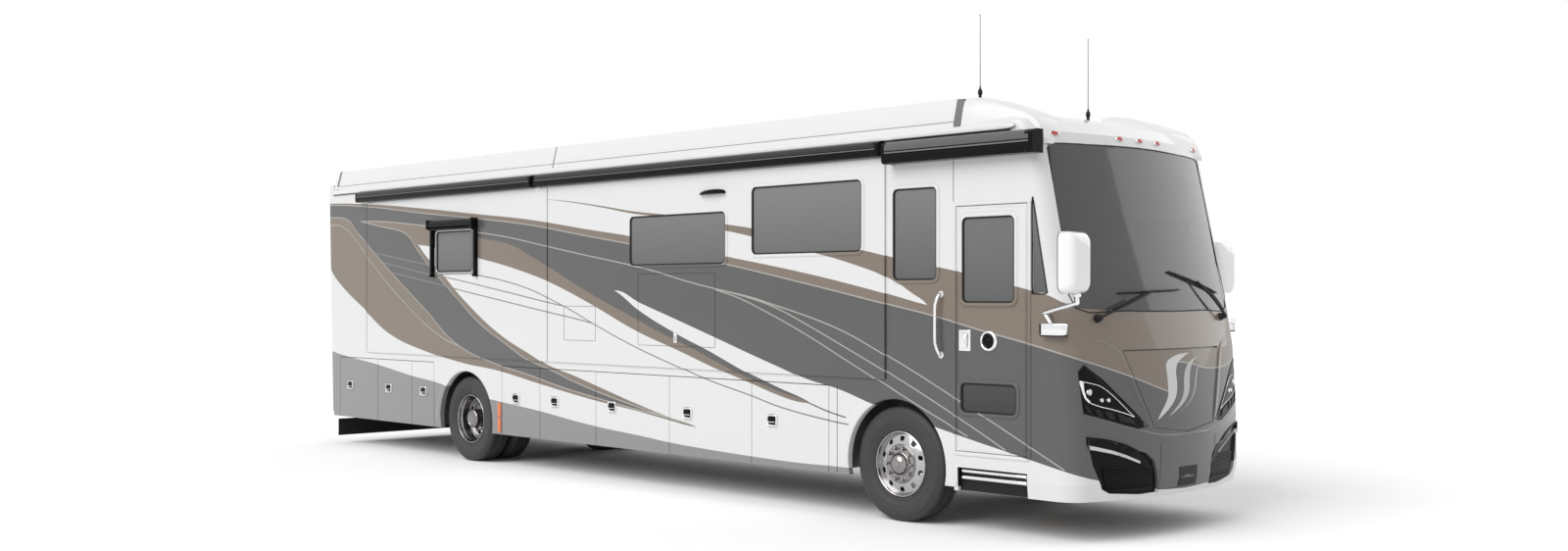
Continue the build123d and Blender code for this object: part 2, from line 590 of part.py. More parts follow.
# ---------------------------------------------------------------- chassis, axles and engine
CROSS_X = (-5900.0, -4700.0, -3500.0, -2000.0, -600.0, 1000.0, 2400.0, 3300.0, 3740.0, 4850.0, 5400.0)
CROSS_W = 60.0
HITCH_R = 8.0
HITCH_X = -6120.0
HITCH_HALF = 38.0
HITCH_Z = 383.0
WEB_Z = RAIL_Z + 60.0        # bottom of the cross members and tanks' top
CRADLE_Z = 590.0             # bottom of the engine's cradle
with BuildPart() as chassis_frame:
    for side in SIDES:
        side_block(side, RAIL_REAR, RAIL_FRONT, RAIL_Y, RAIL_Y + RAIL_W, RAIL_Z, RAIL_TOP)
    web_y = RAIL_Y - FIT
    for x in CROSS_X:
        block((x, -web_y, WEB_Z), (x + CROSS_W, web_y, RAIL_TOP - 20))
        block((x, -BAY_INNER_Y + 10, RAIL_TOP + FIT), (x + CROSS_W, BAY_INNER_Y - 10, FLOOR_Z))
    # tow hitch: drop plates, beam and square receiver
    for side in SIDES:
        side_block(side, -5990, -5960, RAIL_Y, RAIL_Y + RAIL_W, HITCH_Z - HITCH_HALF, RAIL_Z - FIT)
    block((-5990, -RAIL_Y - RAIL_W, HITCH_Z - HITCH_HALF), (-5915, RAIL_Y + RAIL_W, HITCH_Z + HITCH_HALF))
    block((-6200, -HITCH_HALF, HITCH_Z - HITCH_HALF), (-5990, HITCH_HALF, HITCH_Z + HITCH_HALF))
    block((-6201, -25.5, HITCH_Z - 25.5), (-5995, 25.5, HITCH_Z + 25.5), Mode.SUBTRACT)
    rod((HITCH_X, -HITCH_HALF - 1, HITCH_Z), (HITCH_X, HITCH_HALF + 1, HITCH_Z), HITCH_R, Mode.SUBTRACT)
    # cradle under the engine
    for x in (-5700.0, -5000.0):
        block((x, -web_y, CRADLE_Z), (x + CROSS_W, web_y, CRADLE_Z + 30))
        for side in SIDES:
            side_block(side, x, x + CROSS_W, web_y - 20, web_y, CRADLE_Z, WEB_Z)
    # battery and air tanks between the rails
    block((3400, -340, 640), (3800, 340, WEB_Z - FIT))
write(chassis_frame, "chassis_frame")

EYE_R = 40.0
EYE_Z0 = 410.0
EYE_Z1 = 550.0
with BuildPart() as axles:
    block((FRONT_AXLE_X - 45, -KINGPIN_Y, EYE_Z0), (FRONT_AXLE_X + 45, KINGPIN_Y, EYE_Z1))
    for side in SIDES:
        y0, y1 = sorted((side * (KINGPIN_Y - 45), side * (KINGPIN_Y + 60)))
        block((FRONT_AXLE_X - 50, y0, EYE_Z0 - 1), (FRONT_AXLE_X + 50, y1, EYE_Z1 + 1), Mode.SUBTRACT)
        rod((FRONT_AXLE_X, side * KINGPIN_Y, EYE_Z0), (FRONT_AXLE_X, side * KINGPIN_Y, EYE_Z1), EYE_R)
        block((FRONT_AXLE_X - 35, min(side * 970, side * 1000), EYE_Z0),
              (FRONT_AXLE_X + 35, max(side * 970, side * 1000), EYE_Z1))
        rod((FRONT_AXLE_X, side * KINGPIN_Y, EYE_Z0 - 1), (FRONT_AXLE_X, side * KINGPIN_Y, EYE_Z1 + 1),
            KINGPIN_R, Mode.SUBTRACT)
        for x in (-180, 180):
            block((FRONT_AXLE_X + min(x, x - x // 180 * 140), side * 430 - 40, 520),
                  (FRONT_AXLE_X + max(x, x - x // 180 * 140), side * 430 + 40, EYE_Z1))
    # rear axle tube, differential and spindles
    rod((REAR_AXLE_X, -620, TYRE_R), (REAR_AXLE_X, 620, TYRE_R), 75)
    rod((REAR_AXLE_X, -1190, TYRE_R), (REAR_AXLE_X, 1190, TYRE_R), SPINDLE_R)
    with Locations((REAR_AXLE_X, 0, TYRE_R)):
        Sphere(200)
    for side in SIDES:
        side_block(side, REAR_AXLE_X - 240, REAR_AXLE_X + 240, 390, 470, TYRE_R - 20, TYRE_R + 44)
write(axles, "axles")

AIR_SPRING_R = 60.0
with BuildPart() as air_springs:
    for axle_x in (FRONT_AXLE_X, REAR_AXLE_X):
        for side in SIDES:
            for x in (-180, 180):
                rod((axle_x + x, side * 430, EYE_Z1), (axle_x + x, side * 430, RAIL_Z), AIR_SPRING_R)
write(air_springs, "air_springs")

with BuildPart() as engine_block:
    block((-5830, -340, 620), (-4800, 340, 1120))
write(engine_block, "engine_block")

# ---------------------------------------------------------------- wheels and knuckles
HUB_BORE_R = SPINDLE_R + FIT
SHOULDER = 38.0
TYRE_BORE_R = RIM_R + FIT
FRONT_DISC_Y = 75.0          # from the wheel's mid-plane out to the disc's face
DISC_THICK = 14.0
RIM_W = 230.0
RIM_SHEET = 10.0


def wheel_plane(x, y, side):
    """A plane across a wheel's axle line, its normal pointing outwards."""
    return Plane(origin=(x, y, TYRE_R), x_dir=(1, 0, 0), z_dir=(0, side, 0))


def ring(plane, outer_r, inner_r, start, end, mode=Mode.ADD):
    """A ring or disc about a plane's normal, between two distances along it."""
    with BuildSketch(plane.offset(start)) as face_sketch:
        Circle(outer_r)
        if inner_r:
            Circle(inner_r, mode=Mode.SUBTRACT)
    extrude(face_sketch.sketch, amount=end - start, mode=mode)


def tyre(plane):
    """A tyre with sloping shoulders, centred on its plane."""
    half = TYRE_W / 2
    with BuildPart() as body:
        with BuildSketch(Plane.XZ) as section:
            with BuildLine() as edge:
                Polyline((TYRE_BORE_R, -half + 25), (TYRE_R - SHOULDER, -half), (TYRE_R, -half + SHOULDER),
                         (TYRE_R, half - SHOULDER), (TYRE_R - SHOULDER, half), (TYRE_BORE_R, half - 25),
                         close=True)
            make_face(edge.edges())
        revolve(section.sketch, axis=Axis.Z)
    return plane.location * body.part


def rim(plane, disc_y, dish):
    """A rim barrel with its disc, hub and ten hand holes."""
    hub_y = disc_y + dish
    with BuildPart() as body:
        ring(plane, RIM_R, RIM_R - RIM_SHEET, -RIM_W / 2, RIM_W / 2)
        ring(plane, RIM_R - RIM_SHEET / 2, HUB_BORE_R, disc_y, disc_y + DISC_THICK)
        ring(plane, 150, HUB_BORE_R, min(disc_y, hub_y), max(disc_y, hub_y) + DISC_THICK)
        ring(plane, 95, HUB_BORE_R, disc_y - 10, hub_y + 70)
        ring(plane, 95, 0, hub_y + 70, hub_y + 80)
        with BuildSketch(plane.offset(disc_y - 1)) as holes:
            with PolarLocations(215, 10):
                SlotOverall(60, 34)
        extrude(holes.sketch, amount=DISC_THICK + 2, mode=Mode.SUBTRACT)
        with BuildSketch(plane.offset(max(disc_y, hub_y) + DISC_THICK - 1)) as nuts:
            with PolarLocations(142.9, 10):
                RegularPolygon(17, 6)
        extrude(nuts.sketch, amount=30)
    return body.part


for side, hand in ((RIGHT, "right"), (LEFT, "left")):
    front = wheel_plane(FRONT_AXLE_X, side * FRONT_TRACK_Y, side)
    with BuildPart() as front_tyre:
        add(tyre(front))
    write(front_tyre, f"front_tyre_{hand}")
    with BuildPart() as front_rim:
        add(rim(front, FRONT_DISC_Y, 25))
    write(front_rim, f"front_rim_{hand}")

    outer_rear = wheel_plane(REAR_AXLE_X, side * REAR_TRACK_Y, side)
    inner_rear = wheel_plane(REAR_AXLE_X, side * (REAR_TRACK_Y - DUAL_SPACING), side)
    with BuildPart() as rear_tyres:
        add(tyre(outer_rear))
        add(tyre(inner_rear))
    write(rear_tyres, f"rear_tyres_{hand}")
    with BuildPart() as rear_rims:
        disc = -DUAL_SPACING / 2
        ring(outer_rear, RIM_R, RIM_R - RIM_SHEET, -RIM_W / 2, RIM_W / 2)
        ring(inner_rear, RIM_R, RIM_R - RIM_SHEET, -RIM_W / 2, RIM_W / 2)
        ring(outer_rear, RIM_R - RIM_SHEET / 2, HUB_BORE_R, -RIM_W / 2 + 8, -RIM_W / 2 + 8 + DISC_THICK)
        ring(outer_rear, 150, HUB_BORE_R, disc - 40, -RIM_W / 2 + 8 + DISC_THICK)
        ring(outer_rear, RIM_R - RIM_SHEET / 2, HUB_BORE_R, disc - 60, disc - 60 + DISC_THICK)
        ring(outer_rear, 110, HUB_BORE_R, disc - 60, 60)
        ring(outer_rear, 110, 0, 90, 100)
        ring(outer_rear, 110, 95, 60, 90)
        with BuildSketch(outer_rear.offset(-RIM_W / 2 + 7)) as holes:
            with PolarLocations(215, 10):
                SlotOverall(60, 34)
        extrude(holes.sketch, amount=DISC_THICK + 2, mode=Mode.SUBTRACT)
        with BuildSketch(outer_rear.offset(-RIM_W / 2 + 8 + DISC_THICK)) as nuts:
            with PolarLocations(142.9, 10):
                RegularPolygon(17, 6)
        extrude(nuts.sketch, amount=30)
    write(rear_rims, f"rear_rims_{hand}")

    with BuildPart() as knuckle:
        pin = (FRONT_AXLE_X, side * KINGPIN_Y)
        rod((*pin, EYE_Z0 - 45), (*pin, EYE_Z1 + 45), KINGPIN_R - FIT)
        rod((*pin, EYE_Z0 - 45), (*pin, EYE_Z0 - 5), EYE_R)
        rod((*pin, EYE_Z1 + 5), (*pin, EYE_Z1 + 45), EYE_R)
        web = KINGPIN_Y + EYE_R + 5
        side_block(side, FRONT_AXLE_X - 40, FRONT_AXLE_X + 40, web, web + 35, EYE_Z0 - 45, EYE_Z1 + 45)
        side_block(side, FRONT_AXLE_X - 30, FRONT_AXLE_X + 30, KINGPIN_Y, web + 5, EYE_Z0 - 45, EYE_Z0 - 5)
        side_block(side, FRONT_AXLE_X - 30, FRONT_AXLE_X + 30, KINGPIN_Y, web + 5, EYE_Z1 + 5, EYE_Z1 + 45)
        rod((FRONT_AXLE_X, side * web, TYRE_R),
            (FRONT_AXLE_X, side * (FRONT_TRACK_Y + FRONT_DISC_Y + 80), TYRE_R), SPINDLE_R)
    write(knuckle, f"knuckle_{hand}")

# ---------------------------------------------------------------- outside fittings
# awning cases: side, rear x, front x, bottom z, top z, reach from the wall
AWNINGS = (
    (RIGHT, -5530.0, -1350.0, 3215.0, 3348.0, 95.0),
    (RIGHT, -1300.0, 3967.0, 3215.0, 3348.0, 95.0),
    (RIGHT, 4050.0, 5680.0, 3135.0, 3325.0, 150.0),
    (LEFT, -5195.0, 3700.0, 3215.0, 3348.0, 95.0),
)
with BuildPart() as awning_cases:
    for side, x0, x1, z0, z1, reach in AWNINGS:
        side_block(side, x0, x1, HALF_WIDTH, HALF_WIDTH + reach, z0, z1)
write(awning_cases, "awning_cases")

MIRROR_OUT_Y = 1600.0
# mirror heads: side, rear x, front x
MIRROR_HEADS = ((RIGHT, 6044.0, 6164.0), (LEFT, 5620.0, 5740.0))
with BuildPart() as mirrors:
    for side, x0, x1 in MIRROR_HEADS:
        side_block(side, 5670, 5900, 1180, 1345, 1656, 1767)
        side_block(side, x0, x1, MIRROR_OUT_Y - 280, MIRROR_OUT_Y, 2000, 2485)
        middle = (x0 + x1) / 2
        rod((5730, side * 1315, 1760), (5730, side * 1320, 1840), 16)
        rod((5730, side * 1320, 1830), (middle, side * 1440, 1930), 16)
        rod((middle, side * 1440, 1920), (middle, side * 1440, 2010), 16)
    add(CAP_SEAT, mode=Mode.SUBTRACT)
write(mirrors, "mirrors")

with BuildPart() as grab_handle:
    for z in (1490, 1990):
        rod((4640, -HALF_WIDTH, z), (4640, -HALF_WIDTH - 60, z), 12)
    rod((4640, -HALF_WIDTH - 50, 1480), (4640, -HALF_WIDTH - 50, 2000), 16)
write(grab_handle, "grab_handle")

# wipers: pivot (x, y, z), blade start (x, y, z), blade end (x, y, z)
WIPERS = (
    ((5990, -950, 1800), (6015, -660, 2004), (6050, 183, 2034)),
    ((5990, 950, 1800), (6020, 66, 2187), (5990, 920, 2009)),
)
with BuildPart() as wipers:
    for pivot, start, end in WIPERS:
        middle = tuple((a + b) / 2 for a, b in zip(start, end))
        tip = (pivot[0] + 90, pivot[1], pivot[2] + 20)
        rod((pivot[0] - 60, pivot[1], pivot[2] - 15), tip, 22)
        rod(tip, middle, 12)
        rod(start, end, 10)
    add(CAP_SEAT, mode=Mode.SUBTRACT)
write(wipers, "wipers")

# marker lamps at the top of the front: y, x of the seat
MARKERS = ((0.0, 5739.0), (-288.0, 5730.0), (288.0, 5730.0), (-1056.0, 5619.0), (1056.0, 5619.0))
with BuildPart() as signal_lamps:
    for y, x in MARKERS:
        block((x - 40, y - 45, 3292), (x + 22, y + 45, 3328))
    add(CAP_SEAT, mode=Mode.SUBTRACT)
    for side in SIDES:
        side_block(side, -6270, -6160, 1020, 1120, 900, 1240)
    add(rear_cap.part, mode=Mode.SUBTRACT)
write(signal_lamps, "signal_lamps")

with BuildPart() as rear_guard:
    block((-6040, -1250, 100), (-6028, 1250, 325))
    for side in SIDES:
        side_block(side, -6028, -5990, RAIL_Y, RAIL_Y + RAIL_W, 250, 345)
write(rear_guard, "rear_guard")

with BuildPart() as roof_equipment:
    for x in (-4200.0, -800.0, 2600.0):
        block((x, -330, ROOF_CROWN_Z + FIT), (x + 900, 330, 3745))
    rod((4730, -900, 3440), (4730, -900, 3740), 14)
    rod((4730, -900, 3730), (4730, -900, 4420), 4)
    rod((5220, 0, 3480), (5220, 0, 3620), 16)
    rod((5220, 0, 3610), (5220, 0, 4250), 4)
    add(roof.part, mode=Mode.SUBTRACT)
    add(CAP_SEAT, mode=Mode.SUBTRACT)
write(roof_equipment, "roof_equipment")

# ---------------------------------------------------------------- cab inside
with BuildPart() as dashboard:
    block((5250, -500, FLOOR_TOP), (5620, INNER_Y - 30, 1780))
    block((5562, -INNER_Y + 30, FLOOR_TOP), (5620, INNER_Y - 30, 1780))
    rod((5150, 650, 1840), (5350, 650, 1700), 35)
    wheel = Plane(origin=(5140, 650, 1850), z_dir=(-200, 0, 140))
    ring(wheel, 230, 195, -15, 15)
    ring(wheel, 60, 0, -15, 15)
    for turn in (0, 120, 240):
        spoke_end = wheel.from_local_coords((210 * cos(radians(turn)), 210 * sin(radians(turn)), 0))
        rod(tuple(wheel.origin), tuple(spoke_end), 10)
write(dashboard, "dashboard")

# seats: middle x, middle y
SEATS = ((4650.0, 700.0), (4390.0, -180.0))
with BuildPart() as cab_seats:
    for x, y in SEATS:
        block((x - 130, y - 130, FLOOR_TOP), (x + 130, y + 130, 1500))
        block((x - 270, y - 270, 1500), (x + 270, y + 270, 1680))
        block((x - 320, y - 250, 1640), (x - 200, y + 250, 2350))
write(cab_seats, "cab_seats")
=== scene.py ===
# %% [markdown]
# A motorhome is a long box of flat laminated walls with a moulded cap at each end.
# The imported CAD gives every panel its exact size. This file dresses it: paint, glass,
# chrome, tyres, lamps and trim. Every number is in metres, X forward, Y to the driver's
# left, Z up, so a piece is placed straight from the sizes of the vehicle.

# %% Load the frame
import bmesh
import bpy
import json
from math import asin, atan2, cos, hypot, pi, radians, sin
from mathutils import Matrix, Vector
from mathutils.bvhtree import BVHTree
from mathutils.geometry import delaunay_2d_cdt


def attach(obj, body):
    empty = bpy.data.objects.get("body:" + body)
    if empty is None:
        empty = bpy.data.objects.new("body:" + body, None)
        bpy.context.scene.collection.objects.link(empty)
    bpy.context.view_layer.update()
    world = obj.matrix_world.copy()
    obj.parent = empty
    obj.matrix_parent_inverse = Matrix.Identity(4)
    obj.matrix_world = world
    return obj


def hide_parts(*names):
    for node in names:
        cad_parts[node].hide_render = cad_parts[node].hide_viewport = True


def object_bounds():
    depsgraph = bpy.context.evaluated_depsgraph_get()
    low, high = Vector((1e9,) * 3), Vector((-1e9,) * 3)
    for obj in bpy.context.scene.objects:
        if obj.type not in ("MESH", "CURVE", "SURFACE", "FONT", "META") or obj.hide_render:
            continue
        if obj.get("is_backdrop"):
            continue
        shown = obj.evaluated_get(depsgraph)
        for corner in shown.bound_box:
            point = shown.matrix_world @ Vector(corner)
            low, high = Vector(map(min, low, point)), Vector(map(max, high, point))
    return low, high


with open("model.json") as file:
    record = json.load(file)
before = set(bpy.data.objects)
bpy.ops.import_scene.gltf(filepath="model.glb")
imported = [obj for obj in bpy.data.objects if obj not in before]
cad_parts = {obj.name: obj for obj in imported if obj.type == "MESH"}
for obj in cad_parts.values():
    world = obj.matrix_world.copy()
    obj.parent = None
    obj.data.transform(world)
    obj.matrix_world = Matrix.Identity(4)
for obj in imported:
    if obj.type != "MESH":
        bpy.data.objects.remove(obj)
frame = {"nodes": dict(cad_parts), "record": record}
NODES = frame["nodes"]
cad_box = [list(corner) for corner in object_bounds()]
HALF = 1.2825                # half width of the body
SLIDE_FACE = 1.3025          # outer face of a slide-out
RIGHT, LEFT = -1, 1
SIDES = (RIGHT, LEFT)
HAND = {RIGHT: "right", LEFT: "left"}

# %% [markdown]
# The camera stands at eye height off the right front corner. A level camera keeps the
# walls upright, so the view is set by a small lens shift instead of a tilt.


# %% Camera
def shown(name, data):
    """A new object in the scene."""
    obj = bpy.data.objects.new(name, data)
    bpy.context.scene.collection.objects.link(obj)
    return obj


camera = shown("camera", bpy.data.cameras.new("camera"))
camera.location = (13.09, -11.3325, 1.983)
camera.rotation_euler = (radians(90), 0, radians(46))
camera.data.lens = 35.19
camera.data.sensor_width = 36
camera.data.shift_y = 0.0131
camera.data.clip_end = 500
bpy.context.scene.camera = camera
print("camera at", tuple(round(v, 2) for v in camera.location))

# %% [markdown]
# Gloss paint and chrome show whatever stands round them, so the room is part of the
# finish. Here it is a plain studio: an even sky for the soft light, a broad sun from the
# kerb side for a gentle shadow, a weak one across from it, and white wherever the camera
# or a reflection looks.


# %% Light, sky and floor
def adder(tree):
    """A helper that adds a shader node and sets its inputs by name."""
    def add(kind, **inputs):
        node = tree.nodes.new("ShaderNode" + kind)
        for name, value in inputs.items():
            node.inputs[name.replace("_", " ")].default_value = value
        return node
    return add


def tree_of(owner):
    """An empty node tree of a material or world, with its helper."""
    owner.use_nodes = True
    owner.node_tree.nodes.clear()
    return owner.node_tree, adder(owner.node_tree)


def math_nodes(tree):
    """A helper that adds a Math node. Each input is a socket or a plain number."""
    def math(operation, a, b=None, clamp=False):
        node = tree.nodes.new("ShaderNodeMath")
        node.operation = operation
        node.use_clamp = clamp
        for socket, value in zip(node.inputs, (a, b)):
            if isinstance(value, (int, float)):
                socket.default_value = value
            elif value is not None:
                tree.links.new(value, socket)
        return node.outputs[0]
    return math


def blended(tree, factor, *colours):
    """A mix of two colours, each a socket or its red, green and blue."""
    node = tree.nodes.new("ShaderNodeMix")
    node.data_type = "RGBA"
    tree.links.new(factor, node.inputs["Factor"])
    for name, colour in zip("AB", colours):
        if isinstance(colour, tuple):
            node.inputs[name].default_value = (*colour, 1)
        else:
            tree.links.new(colour, node.inputs[name])
    return node.outputs["Result"]


def seen_or_mirrored(tree, add):
    """1 for camera, glossy and transmission rays, 0 for the light that falls on things."""
    path, math = add("LightPath").outputs, math_nodes(tree)
    direct = math("MAXIMUM", path["Is Camera Ray"], path["Is Glossy Ray"])
    return math("MAXIMUM", direct, path["Is Transmission Ray"])


world = bpy.data.worlds.new("studio")
bpy.context.scene.world = world
tree, add = tree_of(world)
lit = add("Background", Color=(0.98, 0.99, 1, 1), Strength=0.53)
seen = add("Background", Color=(1, 1, 1, 1), Strength=1.0)
mix = add("MixShader")
tree.links.new(seen_or_mirrored(tree, add), mix.inputs[0])
tree.links.new(lit.outputs[0], mix.inputs[1])
tree.links.new(seen.outputs[0], mix.inputs[2])
tree.links.new(mix.outputs[0], add("OutputWorld").inputs[0])

for name, energy, tilt, turn in (("key", 1.65, 52, -8), ("fill", 0.5, 62, 165)):
    sun = shown(name, bpy.data.lights.new(name, "SUN"))
    sun.data.energy = energy
    sun.data.angle = radians(50)
    sun.rotation_euler = (radians(tilt), 0, radians(turn))

floor_mat = bpy.data.materials.new("pale_floor")
tree, add = tree_of(floor_mat)
tone = blended(tree, seen_or_mirrored(tree, add), (0.9, 0.9, 0.9), (1.22, 1.22, 1.22))
base = add("BsdfDiffuse")
tree.links.new(tone, base.inputs["Color"])
tree.links.new(base.outputs[0], add("OutputMaterial").inputs[0])
floor_mesh = bpy.data.meshes.new("floor")
floor_mesh.from_pydata([(-90, -90, 0), (90, -90, 0), (90, 90, 0), (-90, 90, 0)], [], [(0, 1, 2, 3)])
floor_mesh.materials.append(floor_mat)
floor = shown("floor", floor_mesh)
floor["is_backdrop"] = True
bpy.context.scene.view_settings.view_transform = "Standard"
print("studio ready")

# %% [markdown]
# Most pieces here are closed shells: blocks, turned rings, bent bars and lofted skins. One
# small class collects such shapes in a bmesh and hands back a single object, so a row of
# like pieces stays one mesh. Normals are worked out once, when the mesh is whole.


# %% A maker of meshes
def turns(count):
    """Angles of a full turn in equal steps."""
    return [2 * pi * i / count for i in range(count)]


class Piece:
    """Gathers closed shapes into one mesh."""

    def __init__(self):
        self.bm = bmesh.new()

    def add(self, verts, faces):
        made = [self.bm.verts.new(v) for v in verts]
        for face in faces:
            self.bm.faces.new([made[i] for i in face])
        return self

    def loft(self, rings, closed=False):
        """Skins rings of equal length. A closed loft joins the last ring to the first."""
        size, count = len(rings[0]), len(rings)
        faces = []
        for i in range(count if closed else count - 1):
            a, b = i * size, (i + 1) % count * size
            for j in range(size):
                k = (j + 1) % size
                faces.append((a + j, a + k, b + k, b + j))
        if not closed:
            faces.append(tuple(range(size)))
            faces.append(tuple((count - 1) * size + j for j in range(size)))
        return self.add([p for ring in rings for p in ring], faces)

    def block(self, low, high, bevel=0.0, segments=2):
        """A box between two corners with rounded edges."""
        middle = (Vector(low) + Vector(high)) / 2
        size = Vector(high) - Vector(low)
        spot = Matrix.Translation(middle) @ Matrix.Diagonal((*size, 1))
        made = bmesh.ops.create_cube(self.bm, size=1, matrix=spot)["verts"]
        if bevel:
            edges = list(dict.fromkeys(e for v in made for e in v.link_edges))
            bmesh.ops.bevel(self.bm, geom=edges, offset=bevel, segments=segments, affect="EDGES",
                            profile=0.5, clamp_overlap=True)
        return self

    def turned(self, profile, centre, axis=(0, 1, 0), segments=64):
        """A closed profile of (radius, distance along the axis) turned about the axis."""
        axis = Vector(axis).normalized()
        across = axis.orthogonal().normalized()
        other = axis.cross(across)
        rings = []
        for turn in turns(segments):
            out = across * cos(turn) + other * sin(turn)
            rings.append([Vector(centre) + axis * h + out * max(r, 1e-5) for r, h in profile])
        return self.loft(rings, closed=True)

    def bar(self, points, radius, segments=12, flat=1.0):
        """A bar of round or oval section along smooth points."""
        points = [Vector(p) for p in points]
        rings = []
        side = None
        for i, p in enumerate(points):
            along = (points[min(i + 1, len(points) - 1)] - points[max(i - 1, 0)]).normalized()
            if side is None:
                side = along.orthogonal().normalized()
            side = (side - along * side.dot(along)).normalized()
            up = along.cross(side)
            rings.append([p + side * cos(t) * radius + up * sin(t) * radius * flat for t in turns(segments)])
        return self.loft(rings)

    def mesh(self, name):
        """The finished mesh, with its normals outward."""
        bmesh.ops.recalc_face_normals(self.bm, faces=self.bm.faces)
        mesh = bpy.data.meshes.new(name)
        self.bm.to_mesh(mesh)
        self.bm.free()
        return mesh

    def done(self, name, material, body, slot, angle=35.0):
        """Welds what touches and makes an object that rides on a body."""
        bmesh.ops.remove_doubles(self.bm, verts=self.bm.verts, dist=1e-5)
        return place(name, self.mesh(name), material, body, slot, angle)


def place(name, mesh, material, body, slot, angle=35.0):
    """Makes an object of a mesh, with smooth shading up to an angle, and ties it to a body."""
    mesh.shade_smooth()
    mesh.set_sharp_from_angle(angle=radians(angle))
    mesh.materials.clear()
    mesh.materials.append(material)
    obj = shown(name, mesh)
    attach(obj, body)
    print(f"{name}: {len(mesh.polygons)} faces on {body}")
    return obj


def rounded(x0, x1, z0, z1, corner, steps=5):
    """Points and outward directions round a rectangle with round corners."""
    corners = ((x1 - corner, z1 - corner, 0), (x0 + corner, z1 - corner, 90),
               (x0 + corner, z0 + corner, 180), (x1 - corner, z0 + corner, 270))
    path = []
    for cx, cz, start in corners:
        for i in range(steps + 1):
            turn = radians(start + 90 * i / steps)
            path.append((cx + corner * cos(turn), cz + corner * sin(turn), cos(turn), sin(turn)))
    return path


def eased(points, steps=4, closed=True):
    """A smooth curve through the given points."""
    count, curve = len(points), []
    for i in range(count if closed else count - 1):
        a, b, c, d = (Vector(points[(i + k) % count if closed else min(max(i + k, 0), count - 1)])
                      for k in (-1, 0, 1, 2))
        for t in (j / steps for j in range(steps)):
            curve.append(tuple(0.5 * (2 * b + (c - a) * t + (2 * a - 5 * b + 4 * c - d) * t * t
                                      + (3 * b - a - 3 * c + d) * t ** 3)))
    return curve if closed else curve + [tuple(points[-1])]


def window_ring(piece, window, side, face_y, section, corner):
    """A frame round a window, its section given as (outwards, proud) pairs."""
    piece.loft([[(x + out_x * out, side * (face_y + lift), z + out_z * out) for out, lift in section]
                for x, z, out_x, out_z in rounded(*window, corner)], closed=True)


# %% [markdown]
# What repeats round a hub or along a panel is one small part and a rule. Geometry Nodes
# hold the rule: a tree places copies of a part, makes them real and sets the material.
# The result is kept as a plain mesh, so nothing is left to work out at render time.


# %% Trees that repeat a part
def repeat_tree(name, turning):
    """Copies a part by turning it about an axis, or by moving it along a step."""
    tree = bpy.data.node_groups.new(name, "GeometryNodeTree")
    face = tree.interface
    face.new_socket("Geometry", in_out="OUTPUT", socket_type="NodeSocketGeometry")
    for label, kind in (("Part", "Object"), ("Count", "Int"), ("Start", "Vector"), ("Step", "Vector"),
                        ("Finish", "Material")):
        face.new_socket(label, in_out="INPUT", socket_type="NodeSocket" + kind)
    new, link = tree.nodes.new, tree.links.new
    given, result = new("NodeGroupInput"), new("NodeGroupOutput")
    points, copies = new("GeometryNodePoints"), new("GeometryNodeInstanceOnPoints")
    info, index = new("GeometryNodeObjectInfo"), new("GeometryNodeInputIndex")
    scale = new("ShaderNodeVectorMath")
    scale.operation = "SCALE"
    link(given.outputs["Step"], scale.inputs[0])
    link(index.outputs[0], scale.inputs["Scale"])
    link(given.outputs["Count"], points.inputs["Count"])
    if turning:
        link(given.outputs["Start"], points.inputs["Position"])
        turn = new("FunctionNodeEulerToRotation")
        link(scale.outputs[0], turn.inputs[0])
        link(turn.outputs[0], copies.inputs["Rotation"])
    else:
        total = new("ShaderNodeVectorMath")
        link(given.outputs["Start"], total.inputs[0])
        link(scale.outputs[0], total.inputs[1])
        link(total.outputs[0], points.inputs["Position"])
    link(given.outputs["Part"], info.inputs["Object"])
    link(points.outputs[0], copies.inputs["Points"])
    link(info.outputs["Geometry"], copies.inputs["Instance"])
    real, paint = new("GeometryNodeRealizeInstances"), new("GeometryNodeSetMaterial")
    link(copies.outputs[0], real.inputs[0])
    link(real.outputs[0], paint.inputs["Geometry"])
    link(given.outputs["Finish"], paint.inputs["Material"])
    link(paint.outputs[0], result.inputs[0])
    return tree


TURN = repeat_tree("copies_about_an_axis", True)
ROW = repeat_tree("copies_in_a_row", False)


def settled(obj):
    """The object's mesh once its modifiers are worked out. They are then taken off."""
    mesh = bpy.data.meshes.new_from_object(obj.evaluated_get(bpy.context.evaluated_depsgraph_get()))
    obj.modifiers.clear()
    return mesh


def repeated(tree, part, count, start, step):
    """Runs a tree on a part and returns the mesh. The part is modelled about the origin."""
    source, host = shown("part", part.mesh("part")), shown("host", bpy.data.meshes.new("host"))
    modifier = host.modifiers.new("copies", "NODES")
    modifier.node_group = tree
    values = {"Part": source, "Count": count, "Start": start, "Step": step}
    for item in tree.interface.items_tree:
        if item.in_out == "INPUT" and item.name in values:
            modifier[item.identifier] = values[item.name]
    result = settled(host)
    for obj in (source, host):
        bpy.data.objects.remove(obj)
    return result


# %% [markdown]
# Finishes. A gloss coach paint is a colour under clear coat: the coat gives the sharp
# reflection, the base below stays softer. Metals, rubber and plastics each get a slight
# unevenness in roughness or bump, at the scale of the real surface.


